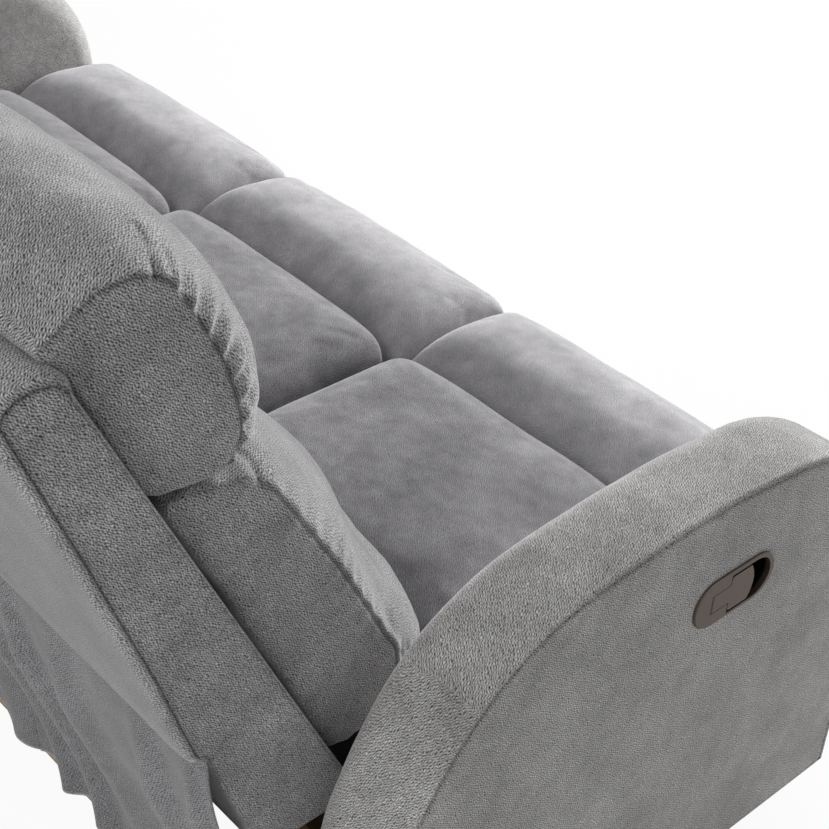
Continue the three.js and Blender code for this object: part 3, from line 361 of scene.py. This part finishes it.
def filled(piece, pinned, cap, pressure, frames=20):
    """Air pressure swells the piece as cloth. Pinned points stay, and none goes beyond cap."""
    start = points_of(piece)
    group = piece.vertex_groups.new(name="held")
    group.add([int(i) for i in np.flatnonzero(pinned)], 1.0, "REPLACE")
    cloth = piece.modifiers.new("cloth", "CLOTH")
    cloth.settings.quality = 4
    cloth.settings.mass = 0.25
    cloth.settings.tension_stiffness = cloth.settings.compression_stiffness = 12
    cloth.settings.shear_stiffness = 6
    cloth.settings.bending_stiffness = 0.6
    cloth.settings.use_pressure = True
    cloth.settings.uniform_pressure_force = pressure
    cloth.settings.vertex_group_mass = "held"
    cloth.settings.effector_weights.gravity = 0
    cloth.collision_settings.use_collision = False
    cloth.point_cache.frame_start, cloth.point_cache.frame_end = 1, frames
    for step in range(1, frames + 1):
        bpy.context.scene.frame_set(step)
    settle(piece)
    piece.vertex_groups.clear()
    moved = points_of(piece) - start
    far = np.linalg.norm(moved, axis=1)
    move_to(piece, start + moved * np.minimum(1, cap / np.maximum(far, 1e-9))[:, None])
    bpy.context.scene.frame_set(1)
    return piece


def kept_in(piece, room):
    """No point of the piece lies outside its room, given as two corners."""
    move_to(piece, np.clip(points_of(piece), *room))


def dents(co, size, seed):
    """Smooth noise in -1..1 at each point."""
    shift = Vector((seed, 3 * seed, 7 * seed))
    return np.array([noise.noise(Vector(p) / size + shift) for p in co])


def copied(piece, name, x, stretch, body, material, seed, dent_size, dent_depth):
    """A like piece at another seat, with small dents of its own."""
    other = bpy.data.objects.new(name, piece.data.copy())
    bpy.context.scene.collection.objects.link(other)
    co, no = points_of(other), points_of(other, "normal")
    co += no * (dent_depth * dents(co, dent_size, seed))[:, None]
    co[:, 0] = x + co[:, 0] * stretch
    move_to(other, co)
    woven(other, material)
    shaded_smooth(other)
    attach(other, body)
    return other


def rounded(t):
    """The fall of a cushion's crown towards its side edges, where it meets the next cushion."""
    inside = max(0.0, 1 - (1 - abs(t)) * seat_half / edge_round)
    return crown_fall * t ** 4 + edge_fall * (1 - math.sqrt(1 - inside ** 2))


seat_outline = smooth([at(y, z) for y, z in (
    (-246, 362), (-250, 385), (-252, 408), (-250, 424), (-240, 434), (-220, 440), (-150, 445),
    (-60, 446), (20, 444), (66, 434), (84, 414), (88, 385), (84, 362), (0, 359), (-160, 359))])
rings = []
for t in stations:
    ring = []
    for y, z in seat_outline:
        up = (z - seat_base) / seat_rise
        front, rear = ramp(-y, start=0.21, length=0.09), ramp(y, start=-0.25, length=0.3)
        bow = front_bow * (1 - t ** 4) * front * up
        tuck = corner_tuck * abs(t) ** end_power * front
        fall = rounded(t) + rear_fall * rear * abs(t) ** 3
        ring.append((t * seat_half, y - bow + tuck, z - up * fall))
    rings.append(ring)
seat = evened(skin("seat_form", rings), form_grid)
filled(seat, points_of(seat)[:, 2] < pulled_under, seat_swell, seat_pressure)
kept_in(seat, seat_room)
refined(seat)
for n, (side, x, _) in enumerate(seats):
    stretch = middle_seat_share if side == "middle" else 1.0
    cushion = copied(seat, f"{side}_seat_cover", x, stretch, "sofa", seat_cloth,
                     seed=5 + n, dent_size=0.12, dent_depth=0.003)
    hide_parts(f"{side}_seat_cushion")
bpy.data.objects.remove(seat)

# Front pads: a separate roll of foam in front of each sewn channel. Each rises in a long slope
# out of the channel, turns down over the front of the seat and ends in a tucked lip.
pad_rise, pad_bow, pad_corner_tuck = 0.082, 0.017, 0.006
lip_height, lip_front = 0.388, -0.48
pad_room = (-0.2567, -0.527, 0.3583), (0.2567, -0.3052, 0.443)
pad_outline = smooth([at(y, z) for y, z in (
    (-262, 362), (-258, 385), (-260, 401), (-272, 415), (-292, 428), (-318, 437), (-345, 440),
    (-380, 439), (-415, 435), (-449, 425), (-469, 408), (-473, 394), (-462, 385), (-430, 383),
    (-417, 376), (-415, 362), (-340, 359))])
rings = []
for t in stations:
    ring = []
    for y, z in pad_outline:
        up = (z - seat_base) / pad_rise
        bow = pad_bow * (1 - t ** 4) + pad_corner_tuck * abs(t) ** end_power
        rear = ramp(y, start=-0.40, length=0.08)
        ring.append((t * seat_half, y - bow * rear, z - up * rounded(t)))
    rings.append(ring)
roll_pad = evened(skin("pad_form", rings), form_grid)
co = points_of(roll_pad)
lip = (co[:, 2] < lip_height) & (co[:, 1] < lip_front)
filled(roll_pad, (co[:, 2] < pulled_under) | lip, seat_swell, seat_pressure)
kept_in(roll_pad, pad_room)
refined(roll_pad)
for n, (side, x, _) in enumerate(seats):
    stretch = middle_seat_share if side == "middle" else 1.0
    roll = copied(roll_pad, f"{side}_front_roll", x, stretch, "sofa", roll_cloth,
                  seed=15 + n, dent_size=0.1, dent_depth=0.003)
    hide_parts(f"{side}_front_pad")
bpy.data.objects.remove(roll_pad)

# Lumbar cushions: a loose fibre-filled box cushion on each back. Its side gussets are sewn in
# along the front edge, and its face bulges far out between them.
cushion_half, cushion_reach, middle_back_share = 0.2325, 0.236, 0.983
back_clearance, back_hold = 0.0006, 0.012
box_stations = (-1, -0.99, -0.97, -0.94, -0.9, -0.8, -0.6, -0.3, 0,
                0.3, 0.6, 0.8, 0.9, 0.94, 0.97, 0.99, 1)
lumbar_room = (-cushion_reach, 0.028, 0.4025), (cushion_reach, math.inf, 0.8088)
lumbar_gusset = [(252, 404), (212, 404), (180, 414), (170, 450), (172, 490), (186, 522), (210, 571),
                 (245, 638), (286, 709), (335, 786), (372, 802), (435, 806), (400, 730), (352, 625),
                 (305, 520), (266, 430)]
lumbar_face = [(252, 402), (180, 402), (104, 408), (84, 434), (90, 478), (114, 524), (140, 575),
               (172, 640), (216, 709), (282, 777), (338, 802), (435, 807), (400, 730), (352, 625),
               (305, 520), (266, 430)]
lumbar_front_seam = slice(0, 105)
casing_front = (226, 338), (513, 960)


def lean(z):
    """How far back the casing's front stands at this height, in millimetres."""
    (low_y, low_z), (high_y, high_z) = casing_front
    return low_y + (z - low_z) * (high_y - low_y) / (high_z - low_z)


def behind(co, hold):
    """The points that lie within this depth of the casing's front, or behind it."""
    return co[:, 1] + drawn_from > (lean(co[:, 2] * 1000) / 1000 - hold)


def laid_on_back(piece, top, room):
    """Below this height, the piece lies on the casing's front. All of it stays in its room."""
    co = points_of(piece)
    plane = lean(co[:, 2] * 1000) / 1000 - drawn_from - back_clearance
    co[:, 1] = np.where(co[:, 2] < top, np.minimum(co[:, 1], plane), co[:, 1])
    move_to(piece, co)
    kept_in(piece, room)


def matched(a, b, count=150):
    """Two closed outlines given point for point, each rounded and cut into the same steps."""
    a, b = (np.array([at(*p) for p in q]) for q in (a, b))
    n = len(a)
    rows = []
    for k in range(count):
        s = k * n / count
        i, t = int(s), s - int(s)
        rows.append([curved(p[i - 1], p[i % n], p[(i + 1) % n], p[(i + 2) % n], t)
                     for p in (a, b)])
    return np.array([r[0] for r in rows]), np.array([r[1] for r in rows])


def box_cushion(name, gusset, face, voxel, cap, held, power, pressure=4.0, rim=0.004, sewn=0.006):
    """A cushion from its flat side gussets to the full face between them, filled with air. Its
    gussets' edges and what is held against the back stay."""
    rings = []
    for t in box_stations:
        swell = [1 - abs(t) ** power(g[1]) for g in gusset]
        rings.append([(t * cushion_half, g[0] + (f[0] - g[0]) * k, g[1] + (f[1] - g[1]) * k)
                      for g, f, k in zip(gusset, face, swell)])
    piece = evened(skin(name, rings), voxel)
    co = points_of(piece)
    edge = np.abs(np.abs(co[:, 0]) - cushion_half) < rim
    away = np.hypot(co[:, None, 1] - gusset[None, ::2, 0], co[:, None, 2] - gusset[None, ::2, 1])
    return filled(piece, (edge & (np.min(away, axis=1) < sewn)) | held(co), cap, pressure)


def stitched(piece, paths, width, depth, fold=0.0, pitch=0.03, reach=0.022, dark=1.0, on=None,
             step=0.0015, drift=2.2, drift_length=0.047, cross_drift=40, held=0.004):
    """A seam drawn in along each path of points, with small folds that run off across it."""
    co, no = points_of(piece), points_of(piece, "normal")
    rows = []
    for path in paths:
        p = np.array(path, float)
        run = np.concatenate([[0], np.cumsum(np.linalg.norm(np.diff(p, axis=0), axis=1))])
        steps = np.arange(0, run[-1], step)
        rows.append(np.column_stack([np.interp(steps, run, p[:, k]) for k in (0, 1, 2)] + [steps]))
    rows = np.concatenate(rows)
    tree = kdtree.KDTree(len(rows))
    for i, row in enumerate(rows):
        tree.insert(row[:3], i)
    tree.balance()
    # The mark laid here, as dark as given, is painted shade along the seam's groove or the pleat's
    # crease; the fabric darkens its colour with it.
    mark = piece.data.attributes.get("seam") or piece.data.attributes.new("seam", "FLOAT", "POINT")
    seam_shade = np.zeros(len(co), np.float32)
    mark.data.foreach_get("value", seam_shade)
    low, high = rows[:, :3].min(0) - 2 * reach, rows[:, :3].max(0) + 2 * reach
    near = np.all((co > low) & (co < high), axis=1) & (on(co) if on else True)
    for i in np.flatnonzero(near):
        _, k, far = tree.find(co[i])
        if far < 2 * reach:
            move = -depth * math.exp(-(far / width) ** 2)
            if fold:
                s = rows[k, 3]
                turn = (2 * math.pi * s / pitch + drift * math.sin(s / drift_length)
                        + cross_drift * co[i, 0])
                wave = math.sin(turn)
                move += fold * wave * math.exp(-(far / reach) ** 2) * far / (far + held)
            co[i] += no[i] * move
            seam_shade[i] = max(seam_shade[i], dark * math.exp(-(far / width) ** 2))
    mark.data.foreach_set("value", seam_shade)
    move_to(piece, co)
    return piece


def fuller_low(z):
    return 5 + 6 * ramp(-z, start=-0.53, length=0.08)


gusset, face = matched(lumbar_gusset, lumbar_face)
lumbar = box_cushion("lumbar_form", gusset, face, voxel=0.006, cap=0.006,
                     held=lambda co: behind(co, back_hold), power=fuller_low)
laid_on_back(lumbar, math.inf, lumbar_room)
refined(lumbar)
# Along the front seam and the pleat the cloth is also darkened: painted shade in the seam's groove
# and the pleat's crease.
for way in (-1, 1):
    seam_line = [(way * cushion_half, y, z) for y, z in gusset[lumbar_front_seam]]
    stitched(lumbar, [seam_line], width=0.003, depth=0.0022, fold=0.0016, pitch=0.034, reach=0.02)
    pleat = [(way * cushion_half, *at(335, 786)), (way * (cushion_half - 0.02), *at(330, 800)),
             (way * (cushion_half - 0.05), *at(338, 806))]
    stitched(lumbar, [pleat], width=0.006, depth=0.0035, dark=0.5)
for n, (side, x, back_body) in enumerate(seats):
    stretch = middle_back_share if side == "middle" else 1.0
    cushion = copied(lumbar, f"{side}_lumbar_cover", x, stretch, back_body, back_cloth,
                     seed=25 + n, dent_size=0.07, dent_depth=0.004)
    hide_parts(f"{side}_lumbar_cushion")
bpy.data.objects.remove(lumbar)

# Head pillows: fibre-filled box pillows that hook over the top of each back, with a side gusset
# sewn in all round, puckered down its front seam and pleated at its front top corner.
hook_height = 0.985
pillow_room = (-cushion_reach, 0.228, 0.8095), (cushion_reach, 0.486, 1.062)
pillow_gusset = [(401, 814), (379, 815), (362, 828), (356, 852), (361, 887), (370, 922), (382, 948),
                 (404, 994), (421, 1017), (436, 1025), (452, 1030), (480, 1028), (491, 1023),
                 (526, 1002), (533, 990), (514, 964), (480, 890), (450, 826)]
pillow_face = [(390, 811), (340, 809), (308, 822), (294, 850), (299, 890), (313, 932), (330, 970),
               (361, 1012), (395, 1041), (425, 1052), (450, 1054), (480, 1048), (502, 1035),
               (532, 1008), (534, 992), (514, 964), (480, 890), (450, 826)]
puckered, pleat_point = slice(8, 66), 72


def fuller_front(z):
    return 5 + 3 * ramp(-z, start=-0.99, length=0.08)


gusset, face = matched(pillow_gusset, pillow_face)
pillow = box_cushion("pillow_form", gusset, face, voxel=0.005, cap=0.008,
                     held=lambda co: behind(co, back_hold) & (co[:, 2] < hook_height),
                     power=fuller_front)
laid_on_back(pillow, hook_height - 0.001, pillow_room)
refined(pillow)
# Along the gusset seam and the pleat the cloth is also darkened: painted shade in the seam's groove
# and the pleat's crease.
for way in (-1, 1):
    seam_line = [(way * cushion_half, y, z) for y, z in gusset]
    stitched(pillow, [seam_line[puckered]], width=0.003, depth=0.002, fold=0.005, pitch=0.024,
             reach=0.028, on=lambda co: way * co[:, 0] < cushion_half - 0.0015)
    stitched(pillow, [seam_line], width=0.003, depth=0.0018)
    y, z = gusset[pleat_point]
    pleat = [(way * cushion_half, y, z), (way * (cushion_half - 0.02), y - 0.012, z + 0.014),
             (way * (cushion_half - 0.05), y - 0.02, z + 0.02)]
    stitched(pillow, [pleat], width=0.005, depth=0.005, dark=0.5)
for n, (side, x, back_body) in enumerate(seats):
    stretch = middle_back_share if side == "middle" else 1.0
    cushion = copied(pillow, f"{side}_pillow_cover", x, stretch, back_body, back_cloth,
                     seed=35 + n, dent_size=0.06, dent_depth=0.003)
    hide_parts(f"{side}_head_pillow")
bpy.data.objects.remove(pillow)

# Arms: an upholstered panel arm at each end. The flat outer panel meets the top band in a low
# ridged seam, and the band rolls over a padded inner edge. All sizes here are in millimetres.
arm_outside, arm_foot, hem_height = 893, 38, 90
front_face, front_top, front_radius = -455, 617, 225
rear_face, side_seam = 332, 8.6
ridge_width, panel_seam_x = 5, 0.8915
side_pucker, side_pucker_drop, side_pucker_width = 0.5, 10, 7
top_pucker, top_pucker_width = 0.35, 12
pucker_pitch, pucker_drift, drift_length = 34, 2.5, 50
inward_slant, slant_height, slant_stretch = 5, 300, (-270, -90, 140, 225)
band_width, roll_start, roll_width, roll_drop = 125, 80, 44, 43
latch_y, latch_z, latch_half, latch_radius = -166, 492, 31.8, 28.3
pocket_sides = (862, 900)
arm_sections = [(0.6, 34), (0.4, 22), (0.2, 15), (0.4, 11), (1.2, 8.4), (2.6, 7.0), (2.8, 5.4),
                (1.0, 4.4), (0.4, 3.0), (1.4, 1.4), (3.4, 0.5), (6.0, 0.6), (9.5, 1.0), (16, 0.2),
                (30, 0), (45, 0.3), (60, 0.6), (74, 1.0)]
arm_sections += [(band_width - roll_width * (1 - math.sin(a)), 1.0 + roll_drop * (1 - math.cos(a)))
                 for a in np.radians((6, 16, 26, 36, 46, 56, 66, 75, 83, 90))]


def arm_line(gap=6):
    """The arm's outline from its front foot over the top to its rear foot, in even steps."""
    turn = [(front_face + front_radius * (1 - math.cos(a)),
             front_top - front_radius * (1 - math.sin(a))) for a in np.linspace(0, math.pi / 2, 10)]
    arch = [(-190, 622), (-147, 626), (-118, 626), (-60, 626), (-32, 624), (48, 618), (90, 611),
            (124, 601), (165, 580), (199, 555), (240, 510), (276, 455), (309, 385), (328, 300)]
    front = [(front_face, z) for z in (arm_foot, 120, 220, 310)]
    rear = [(rear_face, z) for z in (240, 120, arm_foot)]
    p = np.array(front + turn + arch + rear)
    run = np.concatenate([[0], np.cumsum(np.hypot(*np.diff(p, axis=0).T))])
    steps = np.linspace(0, run[-1], int(run[-1] / gap))
    line = np.column_stack([np.interp(steps, run, p[:, k]) for k in (0, 1)])
    for _ in range(8):
        line[1:-1] = 0.25 * line[:-2] + 0.5 * line[1:-1] + 0.25 * line[2:]
    return line, steps


line, steps = arm_line()
along = np.gradient(line, axis=0)
along /= np.linalg.norm(along, axis=1)[:, None]
inward = np.column_stack([along[:, 1], -along[:, 0]])
fade = np.clip((line[:, 1] - arm_foot) / hem_height, 0, 1)
pucker = np.sin(2 * np.pi * steps / pucker_pitch
                + pucker_drift * np.sin(steps / drift_length)) * fade
slant = np.interp(line[:, 0], slant_stretch, (0, 1, 1, 0)) * (line[:, 1] > slant_height)
for side, sign in (("right", -1), ("left", 1)):
    rings = []
    for run, drop in arm_sections:
        if run < ridge_width:
            sunk = np.full(len(line), drop)
            crest = math.exp(-((drop - side_pucker_drop) / side_pucker_width) ** 2)
            out = side_pucker * crest * pucker
        else:
            crest = math.exp(-(run / top_pucker_width) ** 2)
            sunk = drop * (fade if run > roll_start else 1)
            sunk = sunk + inward_slant * slant * ramp(run, start=15, length=95) ** 1.5
            sunk, out = sunk + top_pucker * crest * pucker, 0 * pucker
        rings.append([(sign * (arm_outside - run - o) / 1000, *at(y, z))
                      for (y, z), o in zip(line + inward * sunk[:, None], out)])
    cover = skin(f"{side}_arm_upholstery", rings)
    oval = [at(latch_y + latch_half * s + latch_radius * math.cos(a),
               latch_z + latch_radius * math.sin(a))
            for s, start in ((1, -math.pi / 2), (-1, math.pi / 2))
            for a in np.linspace(start, start + math.pi, 14)]
    pocket = skin("pocket", [[((sign * x) / 1000, y, z) for y, z in oval] for x in pocket_sides])
    cutter = cover.modifiers.new("latch", "BOOLEAN")
    cutter.operation, cutter.object, cutter.solver = "DIFFERENCE", pocket, "EXACT"
    settle(cover)
    bpy.data.objects.remove(pocket)
    seam_line = [(sign * panel_seam_x, *at(y, z)) for y, z in line + inward * side_seam]
    # The side seam is not sunk in: its line is painted shade alone, a darker stroke in the cloth.
    stitched(cover, [seam_line], width=0.0022, depth=0, dark=0.35)
    woven(cover, arm_cloth)
    shaded_smooth(cover)
    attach(cover, "sofa")
    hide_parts(f"{side}_arm_cover")

# Back casings: fabric pulled taut over each back's frame. A side panel is sewn in along its top
# and rear edges, under a row of top stitching on the rear band.
casing_half, middle_casing_half = 247.5, 243.5
rear_swell = 9
edge_share, rolled_share = 0.4, 0.6
stitch_inset, stitch_drop = 1.4, 1.8
casing_line = np.array([
    (226, 338), (262, 416), (308, 515), (354, 615), (400, 715), (446, 815), (492, 915), (513, 960),
    (519, 970), (529, 979), (545, 982), (562, 979), (574, 971), (578, 960), (556, 900), (519, 799),
    (490, 716), (462, 637), (440, 565), (427, 526), (424, 521), (418, 519), (404, 475), (376, 400),
    (353, 338)], float)
rolled = np.array([0] * 8 + [0.6, 0.8, 0.9] + [1] * 10 + [0] * 4)[:, None]
top_and_rear = slice(8, 21)
casing_sections = ((0.2, 20), (0, 13), (0.4, 11.6), (1.6, 10.8), (0.6, 10), (0.4, 8.6), (1.4, 5.6),
                   (3.4, 3.2), (6.4, 1.5), (10, 0.5), (14, 0), (30, -0.4), (70, 0))
tangent = np.roll(casing_line, -1, axis=0) - np.roll(casing_line, 1, axis=0)
tangent /= np.linalg.norm(tangent, axis=1)[:, None]
out_of = np.column_stack([-tangent[:, 1], tangent[:, 0]])
for side, x, back_body in seats:
    reach = middle_casing_half if side == "middle" else casing_half
    rings = []
    for run, drop in (*casing_sections, (reach, 0)):
        sunk = drop * (edge_share + rolled_share * rolled) - rear_swell * rolled
        rings.append((reach - run, casing_line - out_of * sunk))
    full = [[((x * 1000 - r) / 1000, *at(y, z)) for y, z in p] for r, p in rings]
    full += [[((x * 1000 + r) / 1000, *at(y, z)) for y, z in p] for r, p in rings[-2::-1]]
    casing = skin(f"{side}_casing_cover", full)
    # The top stitching is not sunk in: its line is painted shade, a dark stroke in the cloth
    # standing in for the stitching's dent.
    for way in (-1, 1):
        seam_line = [(x + way * (reach - stitch_inset) / 1000, *at(y, z))
                     for y, z in (casing_line - out_of * stitch_drop)[top_and_rear]]
        stitched(casing, [seam_line], width=0.0028, depth=0, dark=0.9)
    woven(casing, back_cloth)
    shaded_smooth(casing, 7)
    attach(casing, back_body)
    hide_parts(f"{side}_back_casing")

# Footrest pads and the fixed front panel under the middle seat: thin foam on a board, with
# rounded edges and a slightly full face.
footrest_half, middle_panel_half = 0.257, 0.2435
board_face, panel_middle = -0.4885, 0.232
edge_thinning, end_shortening = 0.3, 0.03
panel_stations = (-1, -0.99, -0.965, -0.9, -0.7, -0.35, 0, 0.35, 0.7, 0.9, 0.965, 0.99, 1)
panel_outline = smooth([(board_face, 0.094), (board_face, 0.23), (board_face, 0.369),
                        (-0.500, 0.3715), (-0.513, 0.368), (-0.5215, 0.352), (-0.5235, 0.23),
                        (-0.5215, 0.112), (-0.513, 0.096), (-0.500, 0.0925)])
for side, x, _ in seats:
    reach = middle_panel_half if side == "middle" else footrest_half
    rings = []
    for t in panel_stations:
        slim = 1 - edge_thinning * abs(t) ** end_power
        short = 1 - end_shortening * abs(t) ** end_power
        rings.append([(x + t * reach, board_face + (y - board_face) * slim,
                       panel_middle + (z - panel_middle) * short) for y, z in panel_outline])
    pad = refined(skin(f"{side}_front_face", rings))
    woven(pad, seat_cloth)
    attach(pad, f"{side}_footrest" if side != "middle" else "sofa")
    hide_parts(f"{side}_footrest_pad" if side != "middle" else "middle_front_panel")

# Rear flaps: a loose sheet of the same cloth hangs from under each casing's hem to the rear rail,
# in upright folds that open downwards.
flap_half, flap_top, flap_height = 0.2537, 0.521, 0.471
(low_y, low_z), (high_y, high_z) = (358, 338), (577, 960)
hem_z, hem_clearance, rail_y = 520, 4, 0.2672
rear_y = low_y + (hem_z - low_z) * (high_y - low_y) / (high_z - low_z)
hem_y = (rear_y - hem_clearance) / 1000 - drawn_from
fold_depth, fold_rate, fold_lean, fold_sharpness = 0.020, 58, 0.9, 2.2
fold_drift, drift_rate = 1.5, 17
crease_depth, crease_rate, crease_stretch, crease_seed = 0.003, 36, 1.6, 3.3
freed_share, cloth_thickness = 0.3, 0.0016
for side, x, back_body in seats:
    bm = bmesh.new()
    bmesh.ops.create_grid(bm, x_segments=160, y_segments=70, size=1)
    for v in bm.verts:
        along, drop = x + flap_half * v.co.x, (1 - v.co.y) / 2
        hang = hem_y + (rail_y - hem_y) * math.sin(drop * math.pi / 2) ** 2
        wave = math.sin(fold_rate * along + fold_drift * math.sin(drift_rate * along)
                        + fold_lean * drop)
        folds = fold_depth * (0.5 + 0.5 * wave) ** fold_sharpness
        place = Vector((along * crease_rate, drop * crease_stretch, crease_seed))
        creases = crease_depth * noise.noise(place)
        loose = min(1.0, drop / freed_share)
        v.co = (along, hang + loose * (folds + creases), flap_top - flap_height * drop)
    bmesh.ops.recalc_face_normals(bm, faces=bm.faces)
    mesh = bpy.data.meshes.new(f"{side}_rear_cloth")
    bm.to_mesh(mesh)
    bm.free()
    flap = bpy.data.objects.new(f"{side}_rear_cloth", mesh)
    bpy.context.scene.collection.objects.link(flap)
    thick = flap.modifiers.new("thick", "SOLIDIFY")
    thick.thickness, thick.offset = cloth_thickness, 1
    settle(flap)
    woven(flap, flap_cloth)
    shaded_smooth(flap)
    if side == "middle":
        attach(flap, "sofa")
    else:
        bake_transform(flap)
    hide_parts(f"{side}_rear_flap")


# Frames, mechanism and trim: the solids that stay as they are take their finish here, pale
# birch plywood, black powder coat, oiled spring wire, satin dark bronze and black plastic.
# Below its face the latch is blackened: painted shade, standing in for the shade in its deep finger
# cup and in the gaps round its pull.
recess_depth, recess_shade = 0.002, 0.06


def plain(name, low, high, scale, stretch=(1, 1, 1), rough=0.5, metal=0.0, face=None):
    """A finish that varies between two colours in a grain of this scale. Where a face is given,
    the piece is blackened below it as painted shade: that far from the middle of the sofa, in
    metres."""
    material = bpy.data.materials.new(name)
    material.use_nodes = True
    tree = material.node_tree
    shader = tree.nodes["Principled BSDF"]
    shader.inputs["Roughness"].default_value = rough
    shader.inputs["Metallic"].default_value = metal
    place = added(tree, "ShaderNodeTexCoord")
    drawn = added(tree, "ShaderNodeMapping", Scale=stretch)
    grain = added(tree, "ShaderNodeTexNoise", Scale=scale, Detail=5)
    shades = tree.nodes.new("ShaderNodeMix")
    shades.data_type = "RGBA"
    shades.inputs["A"].default_value = (*low, 1)
    shades.inputs["B"].default_value = (*high, 1)
    relief = added(tree, "ShaderNodeBump", Strength=0.15, Distance=0.0004)
    joined(tree,
           (place.outputs["Object"], drawn.inputs["Vector"]),
           (drawn.outputs[0], grain.inputs["Vector"]),
           (grain.outputs["Fac"], shades.inputs["Factor"]),
           (grain.outputs["Fac"], relief.inputs["Height"]),
           (relief.outputs[0], shader.inputs["Normal"]))
    if face is None:
        tree.links.new(shades.outputs["Result"], shader.inputs["Base Color"])
        return material
    axes = added(tree, "ShaderNodeSeparateXYZ")
    reach = added(tree, "ShaderNodeMath", "ABSOLUTE")
    depth = added(tree, "ShaderNodeMapRange", From_Min=face - recess_depth, From_Max=face,
                  To_Min=recess_shade)
    dimmed = added(tree, "ShaderNodeVectorMath", "SCALE")
    joined(tree,
           (place.outputs["Object"], axes.inputs[0]),
           (axes.outputs[0], reach.inputs[0]),
           (reach.outputs[0], depth.inputs["Value"]),
           (shades.outputs["Result"], dimmed.inputs[0]),
           (depth.outputs[0], dimmed.inputs["Scale"]),
           (dimmed.outputs[0], shader.inputs["Base Color"]))
    return material


finishes = {
    "timber": plain("birch_ply", (0.42, 0.27, 0.14), (0.62, 0.45, 0.27),
                    scale=30, stretch=(1, 9, 9), rough=0.7),
    "mechanism": plain("black_coat", (0.012, 0.013, 0.014), (0.03, 0.031, 0.033),
                       scale=400, rough=0.5),
    "springs": plain("spring_wire", (0.16, 0.16, 0.17), (0.32, 0.32, 0.34),
                     scale=200, rough=0.4, metal=0.9),
    "latch": plain("satin_bronze", (0.092, 0.068, 0.050), (0.118, 0.088, 0.066),
                   scale=900, rough=0.34, metal=0.6, face=0.8905),
    "black_plastic": plain("black_plastic", (0.012, 0.012, 0.012), (0.025, 0.025, 0.025),
                           scale=700, rough=0.55),
    "upholstery": back_cloth}
for part in frame["record"]["subparts"]:
    node = frame["nodes"][part["node"]]
    node.data.materials.clear()
    node.data.materials.append(finishes[part["material_slot"]])
